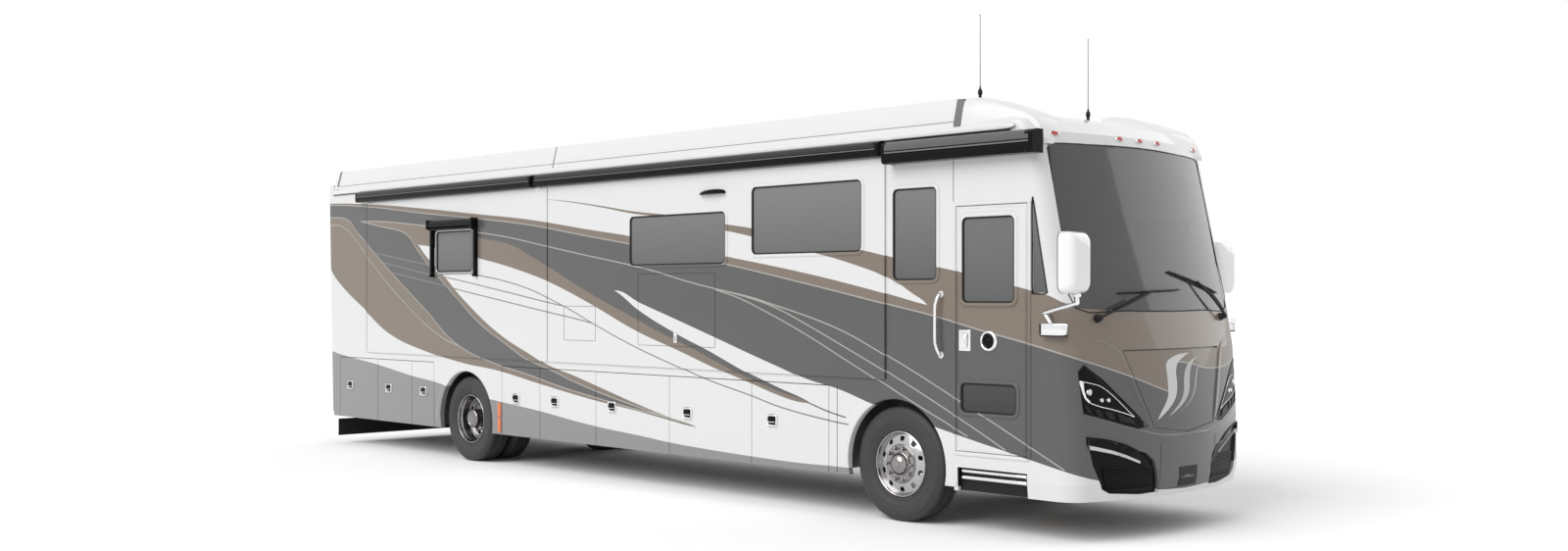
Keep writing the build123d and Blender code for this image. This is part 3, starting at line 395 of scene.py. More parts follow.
# %% Plain finishes
def finish(name, colour, roughness, metallic=0.0, coat=0.0, grain=0.0, grain_size=400.0, uneven=0.0,
           uneven_size=6.0, **extra):
    """A Principled finish with optional fine bump and uneven roughness on Object coordinates.

    A colour is red, green and blue, or one number for a plain grey.
    """
    colour = colour if isinstance(colour, tuple) else (colour,) * 3
    mat = bpy.data.materials.new(name)
    tree, add = tree_of(mat)
    shader = add("BsdfPrincipled", Base_Color=(*colour, 1), Roughness=roughness, Metallic=metallic,
                 Coat_Weight=coat, Coat_Roughness=0.04, **extra)
    tree.links.new(shader.outputs[0], add("OutputMaterial").inputs[0])
    where = add("TexCoord")
    if grain:
        noise = add("TexNoise", Scale=grain_size, Detail=2.0)
        bump = add("Bump", Strength=grain, Distance=0.001)
        tree.links.new(where.outputs["Object"], noise.inputs["Vector"])
        tree.links.new(noise.outputs[0], bump.inputs["Height"])
        tree.links.new(bump.outputs[0], shader.inputs["Normal"])
    if uneven:
        cloud = add("TexNoise", Scale=uneven_size, Detail=3.0)
        spread = add("MapRange", To_Min=roughness - uneven / 2, To_Max=roughness + uneven / 2)
        tree.links.new(where.outputs["Object"], cloud.inputs["Vector"])
        tree.links.new(cloud.outputs[0], spread.inputs["Value"])
        tree.links.new(spread.outputs[0], shader.inputs["Roughness"])
    return mat


def nodes_of(mat):
    """The tree of a finish, its helper, its shader and its Texture Coordinate node."""
    tree = mat.node_tree
    found = {node.type: node for node in tree.nodes}
    return tree, adder(tree), found["BSDF_PRINCIPLED"], found["TEX_COORD"]


chrome = finish("chrome", (0.84, 0.84, 0.85), 0.06, metallic=1, uneven=0.03,
                Specular_Tint=(0.12, 0.12, 0.13, 1))
# The hub chrome and the polished aluminium have darker base colours than bright metal: painted shade standing
# in for the dark surroundings their faces reflect.
hub_chrome_painted_dark = finish("hub_chrome_painted_dark", (0.3, 0.29, 0.285), 0.1, metallic=1, uneven=0.05,
                    Specular_Tint=(0.2, 0.2, 0.2, 1))
polished = finish("aluminium_painted_dark", (0.48, 0.47, 0.47), 0.17, metallic=1, uneven=0.08, grain=0.03,
                  Specular_Tint=(0.3, 0.3, 0.3, 1))
black_gloss = finish("black_gloss", 0.005, 0.2, uneven=0.08, Specular_IOR_Level=0.1)
black_satin = finish("black_powder_coat", 0.012, 0.42, grain=0.12, grain_size=900, uneven=0.1,
                     Specular_IOR_Level=0.2)
# The two greys below paint a sheen on the upper face of the awning cases, the paler one on the awning over
# the entry door. The sealant grey under them is the grey of the roof joints, and it also paints the highlight
# line along each awning's groove.
sheen_dark_grey = finish("painted_sheen_grey", 0.026, 0.35, uneven=0.08, grain=0.02, Specular_IOR_Level=0.25)
sheen_pale_grey = finish("painted_sheen_pale", 0.115, 0.35, uneven=0.08, grain=0.02, Specular_IOR_Level=0.3)
sealant_and_highlight_grey = finish("seam_sealant_and_painted_highlight", 0.17, 0.6, grain=0.1, grain_size=500, uneven=0.1)
black_rubber = finish("black_rubber", 0.012, 0.65, grain=0.15, grain_size=700, uneven=0.1,
                      Specular_IOR_Level=0.3)
tyre_rubber = finish("tyre_rubber", (0.036, 0.036, 0.037), 0.62, grain=0.3, grain_size=260, uneven=0.16)
gel_coat = finish("white_gel_coat", (0.8, 0.8, 0.79), 0.32, coat=0.35, uneven=0.06)
chassis_black = finish("chassis_paint", 0.02, 0.5, grain=0.2, grain_size=200, uneven=0.2)
cast_iron = finish("cast_iron", (0.05, 0.05, 0.052), 0.6, metallic=0.6, grain=0.5, grain_size=160, uneven=0.2)
bay_sheet = finish("galvanised_sheet", (0.3, 0.3, 0.31), 0.42, metallic=0.8, grain=0.06, uneven=0.2)
dash_vinyl = finish("dash_vinyl", (0.035, 0.034, 0.033), 0.55, grain=0.5, grain_size=350, uneven=0.1)
red_lens = finish("red_lens", (0.55, 0.03, 0.025), 0.12, coat=0.6, uneven=0.04)
amber_lens = finish("amber_reflector", (0.8, 0.19, 0.05), 0.2, coat=0.5, grain=0.4, grain_size=180)
grille_black = finish("grille_plastic", 0.004, 0.4, grain=0.2, grain_size=300, uneven=0.1,
                      Specular_IOR_Level=0.1)
wood_floor = finish("floor_board", (0.3, 0.22, 0.15), 0.4, coat=0.2, grain=0.1, grain_size=30, uneven=0.15)
print("materials", len(bpy.data.materials))

# %% [markdown]
# Tinted safety glass looks like a smooth grey plate: a little light gets through and the
# sky lies on top. The side panes are privacy glass, much darker inside than out, so they
# are a coloured gloss that fades from top to bottom, a painted reflection of the sky. The
# windshield lets the cab show, and its colour is painted lighter towards the left.


# %% Glass
def glass(name, low_tone, high_tone, low, high, clear, along="Z"):
    """Glass whose tone runs from one value to another between two places: a painted reflection laid into its
    colour.
    """
    mat = finish(name, low_tone, 0.05, IOR=1.5, Transmission_Weight=clear)
    tree, add, shader, where = nodes_of(mat)
    split, ramp = add("SeparateXYZ"), add("MapRange", From_Min=low, From_Max=high)
    tones = [(tone, tone * 1.02, tone * 1.01) for tone in (low_tone, high_tone)]
    tree.links.new(where.outputs["Object"], split.inputs[0])
    tree.links.new(split.outputs[along], ramp.inputs["Value"])
    tree.links.new(blended(tree, ramp.outputs[0], *tones), shader.inputs["Base Color"])
    return mat


# Side and door panes are painted lighter towards the top, the windshield lighter towards the left: painted
# reflection in the glass colour.
side_glass = glass("privacy_glass", 0.105, 0.2, 2.1, 2.95, 0.0)
door_glass = glass("door_glass", 0.03, 0.15, 1.05, 2.5, 0.0)
shield_glass = glass("windshield_glass", 0.15, 0.215, -1.1, 1.1, 0.62, along="Y")
lamp_glass = finish("lamp_glass", (0.86, 0.88, 0.9), 0.06, coat=0.8, uneven=0.03)
print("glass made")

# %% [markdown]
# The coach graphics are long tapering swooshes masked and sprayed one over another. Each
# edge is a drawn curve: its height depends on how far along the body one stands. A Float
# Curve node holds one such edge, and a layer of paint lies between two of them. The
# distance runs on round the corner, so the sweep carries on over nose and tail.

# %% Swoosh edges, as (distance along the body, height)
Z_MAX = 3.6                  # height at the top of every edge's chart
SWEEP_TOP = (
    (-7.5, 3.24), (-6.25, 3.24), (-5.17, 3.186), (-3.68, 3.066), (-2.66, 2.967), (-1.48, 2.853),
    (-0.37, 2.707), (0.34, 2.617), (1.85, 2.377), (3.0, 2.194), (3.98, 2.007), (4.46, 1.906), (5.5, 1.75),
    (7.5, 1.5))
SWEEP_DARK = (
    (-7.5, 3.22), (-6.25, 3.217), (-5.17, 3.153), (-3.68, 3.006), (-2.66, 2.913), (-1.48, 2.793),
    (-0.37, 2.634), (0.34, 2.535), (1.85, 2.301), (3.0, 2.098), (3.98, 1.916), (4.53, 1.813), (5.06, 1.694),
    (5.49, 1.606), (6.02, 1.486), (6.35, 1.416), (6.72, 1.329), (7.16, 1.212), (7.45, 1.144))
SWEEP_DARK_LEFT = SWEEP_DARK[:14] + ((6.02, 1.46), (6.2, 1.41), (6.45, 1.372), (6.65, 1.362), (6.98, 1.368),
                                     (7.26, 1.415), (7.5, 1.44))
UPPER_HIGH = (
    (-1.12, 3.067), (-0.78, 3.035), (-0.1, 2.948), (0.42, 2.872), (0.91, 2.821), (1.86, 2.689),
    (2.23, 2.64), (3.7, 2.396), (4.06, 2.324), (4.58, 2.23), (4.85, 2.181), (5.4, 2.064), (5.71, 1.993),
    (5.99, 1.927), (6.15, 2.2), (7.5, 2.2))
UPPER_LOW = (
    (-1.12, 3.064), (-0.78, 3.027), (-0.1, 2.932), (0.42, 2.848), (0.74, 2.812), (1.86, 2.627),
    (2.23, 2.561), (3.07, 2.39), (3.36, 2.328), (3.7, 2.242), (3.88, 2.191), (3.98, 2.153), (4.12, 2.097),
    (4.26, 2.021), (4.46, 1.906), (4.6, 1.6), (7.5, 1.0))
TAUPE_FOOT = (
    (-7.5, 2.9), (-6.5, 2.6), (-6.25, 2.4), (-6.02, 2.204), (-5.17, 1.765), (-4.48, 1.463), (-3.68, 1.292),
    (-2.89, 1.177), (-2.15, 1.112), (-1.33, 0.996), (-0.26, 0.854), (0.42, 0.784), (0.98, 0.715),
    (1.35, 0.67), (7.5, 0.3))
DARK_FOOT = (
    (-7.5, 3.1), (-6.25, 3.048), (-5.79, 3.018), (-5.45, 2.816), (-5.17, 2.66), (-4.59, 2.309),
    (-3.68, 1.795), (-2.92, 1.375), (-2.15, 1.182), (-1.5, 1.084), (-0.92, 0.98), (-0.26, 0.886),
    (0.42, 0.8), (0.98, 0.735), (1.4, 0.67), (2.0, 0.3), (7.5, 0.3))
WEDGE_TAUPE = (
    (-5.37, 2.968), (-4.78, 2.878), (-4.25, 2.791), (-3.89, 2.545), (-3.68, 2.391), (-3.33, 2.165),
    (-2.99, 1.954), (-2.5, 1.661), (-2.02, 1.457), (-1.42, 1.231), (-1.12, 1.165), (-0.64, 1.041),
    (-0.26, 0.959), (0.42, 0.832), (0.98, 0.738), (1.4, 0.67), (2.0, 0.3), (7.5, 0.3))
WEDGE_WHITE = (
    (-5.37, 3.2), (-4.2, 2.85), (-3.89, 2.629), (-3.68, 2.466), (-3.26, 2.211), (-2.82, 1.927),
    (-2.02, 1.518), (-1.42, 1.308), (-1.12, 1.207), (-0.64, 1.107), (-0.1, 0.982), (0.42, 0.863),
    (0.98, 0.746), (1.38, 0.678), (2.0, 0.2), (7.5, 0.0))
ARCH_TAUPE = (
    (-5.37, 2.968), (-4.78, 2.942), (-3.96, 2.876), (-3.68, 2.853), (-3.1, 2.76), (-2.54, 2.677),
    (-2.02, 2.61), (-1.75, 2.552), (-1.48, 2.451), (-1.12, 2.318), (-0.37, 2.03), (0.42, 1.761),
    (0.91, 1.596), (1.36, 1.461), (1.84, 1.303), (2.23, 1.178), (2.6, 1.085), (3.03, 0.985), (3.6, 0.5),
    (7.5, 0.2))
ARCH_WHITE = (
    (-5.37, 3.1), (-4.2, 2.8), (-3.89, 2.629), (-3.68, 2.605), (-3.1, 2.53), (-2.54, 2.436), (-2.02, 2.348),
    (-1.48, 2.238), (-1.12, 2.15), (-0.37, 1.916), (0.52, 1.605), (1.15, 1.433), (1.72, 1.27),
    (2.24, 1.137), (2.6, 1.045), (2.86, 0.996), (3.03, 0.982), (3.6, 0.4), (7.5, 0.1))
BLADE_HIGH = (
    (-0.1, 2.0), (0.1, 2.045), (0.54, 1.911), (1.15, 1.738), (1.72, 1.574), (2.25, 1.42), (2.63, 1.313),
    (3.0, 1.21), (3.39, 1.138), (3.81, 1.026), (4.2, 0.95), (4.7, 0.83), (5.44, 0.679), (5.74, 0.618),
    (6.25, 0.518), (7.08, 0.398), (7.46, 0.381))
BLADE_LOW = (
    (-0.1, 2.1), (0.1, 2.045), (0.54, 1.825), (1.15, 1.593), (1.61, 1.445), (2.18, 1.244), (2.34, 1.195),
    (2.63, 1.111), (3.0, 1.006), (3.05, 0.98), (3.5, 0.2), (7.5, 0.0))
SKIRT_TOP = (
    (-7.5, 1.245), (-6.24, 1.245), (-5.94, 1.202), (-4.93, 1.093), (-4.07, 0.979), (-3.54, 0.925),
    (-3.33, 0.896), (-2.3, 0.771), (-1.3, 0.684), (-0.64, 0.612), (-0.23, 0.574), (0.63, 0.515),
    (0.99, 0.487), (1.52, 0.461), (2.24, 0.437), (2.86, 0.425), (3.49, 0.43), (4.4, 0.41), (4.6, 0.2),
    (7.5, 0.1))
PIN_HIGH = (
    (-5.37, 2.968), (-4.78, 2.945), (-3.68, 2.853), (-2.54, 2.739), (-2.02, 2.68), (-1.12, 2.54),
    (-0.37, 2.422), (0.37, 2.31), (0.79, 2.237), (1.27, 2.136), (1.72, 2.056), (2.25, 1.97), (2.54, 1.905),
    (2.85, 1.835), (3.18, 1.752), (3.53, 1.645), (3.9, 1.497), (4.3, 1.33), (4.63, 1.181), (5.0, 1.015),
    (5.44, 0.81), (5.89, 0.598))
PIN_MIDDLE = (
    (1.85, 2.037), (2.35, 1.937), (2.63, 1.859), (3.0, 1.721), (3.53, 1.507), (4.12, 1.262), (4.61, 1.044),
    (5.0, 0.862), (5.3, 0.717))
PIN_LOW = (
    (1.72, 2.048), (2.06, 1.967), (2.44, 1.839), (3.0, 1.625), (3.53, 1.395), (4.0, 1.192), (4.35, 1.043),
    (4.61, 0.931), (4.9, 0.804))
PIN_TAIL = ((-6.23, 2.946), (-5.86, 2.913), (-5.17, 2.493), (-4.4, 2.0), (-3.33, 1.476), (-2.92, 1.375))
LINE_HIGH = (
    (-4.93, 2.538), (-3.68, 2.373), (-2.54, 2.231), (-2.02, 2.165), (-1.42, 2.05), (-1.12, 1.965),
    (-0.69, 1.833), (-0.28, 1.689), (0.42, 1.462), (1.15, 1.265), (1.61, 1.147), (2.24, 1.019),
    (2.6, 0.939), (3.27, 0.845), (3.53, 0.82))
LINE_MIDDLE = ((-4.74, 2.412), (-3.68, 2.261), (-3.16, 2.201), (-2.02, 2.043), (-1.12, 1.914), (-0.83, 1.873))
LINE_LOW = (
    (-4.57, 2.289), (-3.26, 2.106), (-3.04, 2.072), (-2.02, 1.929), (-1.12, 1.805), (-0.64, 1.742),
    (-0.28, 1.689))
LINE_TAIL = ((3.03, 0.987), (3.25, 0.929), (3.49, 0.882))
PIN = 0.0065                 # half the thickness of a pin stripe
CAB_X = 4.75                 # nose and tail are painted all through beyond this distance
NOSE_SPLIT_Y = -0.17         # where the sweep of the left side takes over on the nose
LINING_Y = 1.225             # walls are plain white further in than this
WHITE, TAUPE, DARK = (0.79, 0.79, 0.785), (0.222, 0.18, 0.143), (0.103, 0.102, 0.101)
SKIRT, PIN_LIGHT, PIN_GREY = (0.275, 0.275, 0.275), (0.405, 0.385, 0.358), (0.22, 0.21, 0.2)
print("swoosh edges ready")

# %% [markdown]
# The paint is one node group, used by every painted panel, so stripes meet across the
# gaps of doors and slides. Each mask is 0 or 1, and each Mix lays one colour over the
# last, in the order a sprayer would work: pale ground first, thin pin stripes at the end.


# %% The paint
def drawn_edge(tree, points, lowest, spread, ends="AUTO"):
    """A Float Curve node through the given points, scaled to run from 0 to 1 both ways."""
    start, reach = points[0][0], points[-1][0] - points[0][0]
    spots = [((u - start) / reach, (v - lowest) / spread) for u, v in points]
    node = tree.nodes.new("ShaderNodeFloatCurve")
    curve = node.mapping.curves[0]
    for spot, point in zip((spots[0], spots[-1]), curve.points):
        point.location = spot
    for spot in spots[1:-1]:
        curve.points.new(*spot)
    for point in (curve.points[0], curve.points[-1]):
        point.handle_type = ends
    node.mapping.update()
    return node


def paint_tree():
    """The whole paint scheme as a node group: a place on the coach in, its colour out."""
    tree = bpy.data.node_groups.new("coach_colours", "ShaderNodeTree")
    tree.interface.new_socket("Position", in_out="INPUT", socket_type="NodeSocketVector")
    tree.interface.new_socket("Colour", in_out="OUTPUT", socket_type="NodeSocketColor")
    new, link = tree.nodes.new, tree.links.new
    math = math_nodes(tree)
    given, result, split = new("NodeGroupInput"), new("NodeGroupOutput"), new("ShaderNodeSeparateXYZ")
    link(given.outputs[0], split.inputs[0])
    x, y, z = split.outputs
    inboard = math("MAXIMUM", math("SUBTRACT", HALF, math("ABSOLUTE", y)), 0.0)
    along = math("ADD", x, math("MULTIPLY", math("SIGN", x), inboard))

    def height(points):
        """The height of an edge at this place along the body."""
        start, reach = points[0][0], points[-1][0] - points[0][0]
        node = drawn_edge(tree, points, 0.0, Z_MAX, ends="VECTOR")
        link(math("DIVIDE", math("SUBTRACT", along, start), reach, clamp=True), node.inputs["Value"])
        return math("MULTIPLY", node.outputs[0], Z_MAX)

    def between(low, high):
        """1 from one edge up to another."""
        return math("MULTIPLY", math("GREATER_THAN", z, low), math("LESS_THAN", z, high))

    def pin(points, edge=None):
        """1 along a thin stripe that lies on an edge, as far as the edge's points go."""
        line = height(points) if edge is None else edge
        near = math("LESS_THAN", math("ABSOLUTE", math("SUBTRACT", z, line)), PIN)
        inside = math("MULTIPLY", math("GREATER_THAN", along, points[0][0]),
                      math("LESS_THAN", along, points[-1][0]))
        return math("MULTIPLY", near, inside)

    def over(base, colour, mask):
        return blended(tree, mask, base, colour)

    left_nose = math("MULTIPLY", math("GREATER_THAN", x, CAB_X), math("GREATER_THAN", y, NOSE_SPLIT_Y))
    dark_right, dark_left = height(SWEEP_DARK), height(SWEEP_DARK_LEFT)
    dark_top = math("ADD", math("MULTIPLY", dark_left, left_nose),
                    math("MULTIPLY", dark_right, math("SUBTRACT", 1.0, left_nose)))
    taupe_top, dark_foot, wedge_taupe = height(SWEEP_TOP), height(DARK_FOOT), height(WEDGE_TAUPE)
    from_start = math("GREATER_THAN", along, ARCH_TAUPE[0][0])
    upper = math("GREATER_THAN", along, UPPER_LOW[0][0])
    colour = over(WHITE, TAUPE, math("MULTIPLY", upper, between(height(UPPER_LOW), height(UPPER_HIGH))))
    colour = over(colour, TAUPE, between(height(TAUPE_FOOT), taupe_top))
    colour = over(colour, DARK, between(dark_foot, dark_top))
    colour = over(colour, TAUPE, math("MULTIPLY", from_start, between(wedge_taupe, height(ARCH_TAUPE))))
    colour = over(colour, WHITE, math("MULTIPLY", from_start,
                                      between(height(WEDGE_WHITE), height(ARCH_WHITE))))
    colour = over(colour, WHITE, between(height(BLADE_LOW), height(BLADE_HIGH)))
    colour = over(colour, SKIRT, math("LESS_THAN", z, height(SKIRT_TOP)))
    for tint, lines in ((PIN_LIGHT, ((PIN_HIGH,), (PIN_MIDDLE,), (PIN_LOW,), (PIN_TAIL,),
                                     (SWEEP_DARK, dark_top), (DARK_FOOT[1:15], dark_foot),
                                     (WEDGE_TAUPE[:16], wedge_taupe))),
                        (PIN_GREY, ((LINE_HIGH,), (LINE_MIDDLE,), (LINE_LOW,))), (DARK, ((LINE_TAIL,),))):
        for line in lines:
            colour = over(colour, tint, pin(*line))
    indoors = math("MULTIPLY", math("LESS_THAN", math("ABSOLUTE", y), LINING_Y),
                   math("LESS_THAN", math("ABSOLUTE", x), CAB_X))
    link(over(colour, WHITE, indoors), result.inputs[0])
    print("paint group:", len(tree.nodes), "nodes")
    return tree


COLOURS = paint_tree()


def painted(name, artwork=None):
    """The gloss coach paint. Fine flake and a faint orange peel keep it from looking like plastic."""
    mat = finish(name, WHITE, 0.34, coat=0.55, grain=0.015, grain_size=140, Specular_IOR_Level=0.2)
    tree, add, shader, where = nodes_of(mat)
    group = add("Group")
    group.node_tree = COLOURS
    tree.links.new(where.outputs["Object"], group.inputs[0])
    colour = artwork(tree, where, group.outputs[0]) if artwork else group.outputs[0]
    flake, gain = add("TexNoise", Scale=900), add("MapRange", To_Min=0.93, To_Max=1.07)
    tone = add("VectorMath")
    tone.operation = "SCALE"
    tree.links.new(where.outputs["Object"], flake.inputs["Vector"])
    tree.links.new(flake.outputs[0], gain.inputs["Value"])
    tree.links.new(colour, tone.inputs[0])
    tree.links.new(gain.outputs[0], tone.inputs["Scale"])
    tree.links.new(tone.outputs[0], shader.inputs["Base Color"])
    return mat


coach_paint = painted("coach_paint")

# %% [markdown]
# The hood carries a plain airbrushed flourish: three crescents that rise side by side and
# thin out at both ends. Each lies between two drawn edges, as the swooshes do, but these
# edges give the distance across the hood for every height.

# %% Crescents on the hood, as (left edge, right edge, colour)
CRESCENTS = (
    (((0.965, -0.4), (1.03, -0.34), (1.1, -0.27), (1.16, -0.228), (1.26, -0.212), (1.36, -0.21),
      (1.42, -0.205), (1.46, -0.15), (1.505, 0.16)),
     ((0.965, -0.4), (1.03, -0.27), (1.1, -0.165), (1.16, -0.11), (1.26, -0.08), (1.36, -0.075),
      (1.42, -0.04), (1.46, 0.035), (1.505, 0.16)),
     (0.66, 0.66, 0.65)),
    (((0.985, -0.26), (1.05, -0.14), (1.12, -0.04), (1.19, 0.01), (1.29, 0.035), (1.38, 0.085),
      (1.44, 0.18), (1.47, 0.33)),
     ((0.985, -0.26), (1.05, -0.095), (1.12, 0.03), (1.19, 0.095), (1.29, 0.125), (1.38, 0.165),
      (1.44, 0.235), (1.47, 0.33)),
     (0.52, 0.51, 0.5)),
    (((1.01, -0.1), (1.1, 0.08), (1.2, 0.18), (1.3, 0.225), (1.38, 0.285), (1.42, 0.42)),
     ((1.01, -0.1), (1.1, 0.098), (1.2, 0.206), (1.3, 0.252), (1.38, 0.308), (1.42, 0.42)),
     (0.38, 0.36, 0.33)))


def flourish(tree, where, colour):
    """Lays the crescents over the coach colours and returns the new colour."""
    math = math_nodes(tree)
    split = tree.nodes.new("ShaderNodeSeparateXYZ")
    tree.links.new(where.outputs["Object"], split.inputs[0])
    _, y, z = split.outputs
    for left, right, tint in CRESCENTS:
        low, high = left[0][0], left[-1][0]
        level = math("DIVIDE", math("SUBTRACT", z, low), high - low)
        edges = []
        for points in (left, right):
            node = drawn_edge(tree, points, -0.5, 1.0)
            tree.links.new(level, node.inputs["Value"])
            edges.append(math("SUBTRACT", node.outputs[0], 0.5))
        rises = math("MULTIPLY", math("GREATER_THAN", level, 0.0), math("LESS_THAN", level, 1.0))
        spans = math("MULTIPLY", math("GREATER_THAN", y, edges[0]), math("LESS_THAN", y, edges[1]))
        colour = blended(tree, math("MULTIPLY", rises, spans), colour, tint)
    return colour


hood_paint = painted("hood_paint", flourish)

# %% [markdown]
# Every CAD solid keeps its shape and gets the finish of its slot. A few solids share a
# slot but not a look, such as the windshield and the privacy glass, so they are named.

# %% Finishes for the solids
BY_SLOT = {"body_paint": coach_paint, "roof_shell": gel_coat, "black_case": black_satin,
           "glass_dark": side_glass, "frame_steel": chassis_black, "axle_steel": cast_iron,
           "rubber_black": black_rubber, "tyre_rubber": tyre_rubber, "rim_polished": polished,
           "chrome_trim": chrome, "lamp_black": black_gloss, "lamp_red": red_lens,
           "grille_black": grille_black, "floor_board": wood_floor, "bay_liner": bay_sheet,
           "dash_vinyl": dash_vinyl, "seat_leather": dash_vinyl, "wiper_black": black_satin,
           "engine_iron": cast_iron}
BY_NODE = {"windshield": shield_glass, "entry_door_glass": door_glass, "nose_hood": hood_paint}
for part in frame["record"]["subparts"]:
    solid = NODES[part["node"]]
    solid.data.materials.clear()
    solid.data.materials.append(BY_NODE.get(part["node"], BY_SLOT[part["material_slot"]]))
print("finished", len(NODES), "solids")

# %% [markdown]
# A coach tyre is vulcanised in a mould made of equal sections, so its tread repeats in
# pitches. One pitch is modelled here: a strip across the tyre with four straight grooves
# and a slanting sipe. Turned sixty times about the axle it closes into a whole tyre.

# %% Tyres
TYRE_R, TRACK_FRONT, TRACK_REAR, TWIN = 0.506, 1.11, 1.105, 0.34
FRONT_X, REAR_X = 4.096, -2.814
PITCHES = 60
SIDEWALL = (
    (0.2905, 0.098), (0.298, 0.111), (0.308, 0.1155), (0.316, 0.1165), (0.319, 0.121), (0.324, 0.122),
    (0.327, 0.1195), (0.345, 0.1262), (0.366, 0.1318), (0.3685, 0.134), (0.3735, 0.1345), (0.376, 0.133),
    (0.4, 0.1362), (0.425, 0.137), (0.446, 0.1345), (0.4475, 0.1358), (0.4535, 0.1345), (0.455, 0.132),
    (0.474, 0.1245), (0.49, 0.1155))
TREAD = (
    (0.5015, 0.106, 4), (0.505, 0.0985, 8), (0.5056, 0.072, 8), (0.494, 0.071, 0), (0.494, 0.062, 0),
    (0.506, 0.061, 6), (0.506, 0.036, 6), (0.494, 0.035, 0), (0.494, 0.026, 0), (0.506, 0.025, 5))
SIPE = ((0.0, 0.0), (0.02, 1.0), (0.1, 1.0), (0.12, 0.0))
half_section = [(r, h, 0) for r, h in SIDEWALL] + list(TREAD)
section = half_section + [(r, -h, d) for r, h, d in reversed(half_section)]


def tyre_mesh(x, y):
    """One tyre about the axle through x and y, with the tread pitch repeated."""
    pitch = Piece()
    turn = 2 * pi / PITCHES
    rings = []
    for part, depth in SIPE + ((1.0, 0.0),):
        ring = []
        for r, h, cut in section:
            angle = turn * part + (h * 0.9 if r > 0.49 else 0.0)
            radius = r - depth * cut * 0.001
            ring.append((radius * cos(angle), h, radius * sin(angle)))
        rings.append(ring)
    size = len(section)
    faces = [(i * size + j, i * size + (j + 1) % size, (i + 1) * size + (j + 1) % size, (i + 1) * size + j)
             for i in range(len(rings) - 1) for j in range(size)]
    pitch.add([p for ring in rings for p in ring], faces)
    return repeated(TURN, pitch, PITCHES, (x, y, TYRE_R), (0, turn, 0))


def welded(name, meshes, material, body, slot, angle=35.0):
    """Joins repeated parts, merges their shared edges and ties the piece to a body."""
    piece = Piece()
    for mesh in meshes:
        piece.bm.from_mesh(mesh)
    return piece.done(name, material, body, slot, angle)


for side in SIDES:
    hand = HAND[side]
    tyre = welded(f"tyre_front_{hand}", [tyre_mesh(FRONT_X, side * TRACK_FRONT)], tyre_rubber,
                  f"front_wheel_{hand}", "tyre_rubber")
    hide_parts(f"front_tyre_{hand}")
    twins = [tyre_mesh(REAR_X, side * y) for y in (TRACK_REAR, TRACK_REAR - TWIN)]
    tyre = welded(f"tyres_rear_{hand}", twins, tyre_rubber, f"rear_wheels_{hand}", "tyre_rubber")
    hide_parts(f"rear_tyres_{hand}")

# %% [markdown]
# The wheels are forged and polished. The front one bulges outwards and the rear one is
# deep dished, because the same wheel is turned round to pair it with its twin. One tenth
# of the disc is modelled with its hand hole: loops run from the rectangle round the tenth
# to the rim of the hole, over its rounded edge and back along the inner face.

# %% Wheels
HAND_HOLES = 10


def hand_hole(direction):
    """Distance from the hole's middle to its edge: a soft trapezium, wider outboard."""
    low, high = 0.0, 0.06
    for _ in range(24):
        reach = (low + high) / 2
        across, out = reach * cos(direction), reach * sin(direction)
        inside = (across / (0.0235 + 0.22 * out)) ** 4 + (out / 0.0195) ** 4 < 1
        low, high = (reach, high) if inside else (low, reach)
    return low


def disc_tenth(side, inner, outer, height, thick):
    """A tenth of a wheel disc with its hole. height(r) is the outer face along the axle."""
    middle, wedge, steps = 0.223, pi / HAND_HOLES, 10
    corners = ((outer, wedge), (outer, -wedge), (inner, -wedge), (inner, wedge), (outer, wedge))
    border = [(r + (next_r - r) * i / steps, angle + (next_angle - angle) * i / steps)
              for (r, angle), (next_r, next_angle) in zip(corners, corners[1:]) for i in range(steps)]
    loops = []
    for share, drop in ((0, thick), (0.6, thick), (1, thick), (1, 0.005), (0.93, 0.001), (0.8, 0), (0.4, 0),
                        (0, 0)):
        loop = []
        for r, angle in border:
            across, out = r * sin(angle), r * cos(angle) - middle
            far, direction = hypot(across, out), atan2(out, across)
            reach = far + (hand_hole(direction) - far) * share
            x, z = reach * cos(direction), middle + reach * sin(direction)
            loop.append((x, side * (height(hypot(x, z)) - drop), z))
        loops.append(loop)
    size = len(border)
    verts = [p for loop in loops for p in loop]
    faces = []
    for i in range(len(loops)):
        k = (i + 1) % len(loops)
        for j in range(size):
            n = (j + 1) % size
            on_cut = abs(abs(border[j][1]) - wedge) < 1e-6 and abs(abs(border[n][1]) - wedge) < 1e-6
            if k == 0 and on_cut and abs(border[j][1] - border[n][1]) < 1e-6:
                continue
            faces.append((i * size + j, i * size + n, k * size + n, k * size + j))
    return Piece().add(verts, faces)


def holed_disc(x, y, side, inner, outer, height):
    """A whole wheel disc with its ring of hand holes."""
    tenth = disc_tenth(side, inner, outer, height, 0.014)
    return repeated(TURN, tenth, HAND_HOLES, (x, y, TYRE_R), (0, 2 * pi / HAND_HOLES, 0))


def lug_nuts(x, y, side, seat):
    """Ten chrome nut covers: a flared skirt, a hexagon and a domed end."""
    nut, bolt_r = Piece(), 0.1429
    levels = ((0.02, 0.0), (0.02, 0.004), (0.0165, 0.007), (0.0165, 0.028), (0.0145, 0.033), (0.0085, 0.036))
    nut.loft([[(bolt_r + r * cos(turn + pi / 6), side * (seat + h), r * sin(turn + pi / 6))
               for turn in turns(6)] for r, h in levels])
    return repeated(TURN, nut, 10, (x, y, TYRE_R), (0, 2 * pi / 10, 0))


def turned_about_axle(piece, x, y, side, profile):
    """Turns a profile about the axle, mirrored for the right side."""
    piece.turned([(r, side * h) for r, h in profile], (x, y, TYRE_R), segments=80)


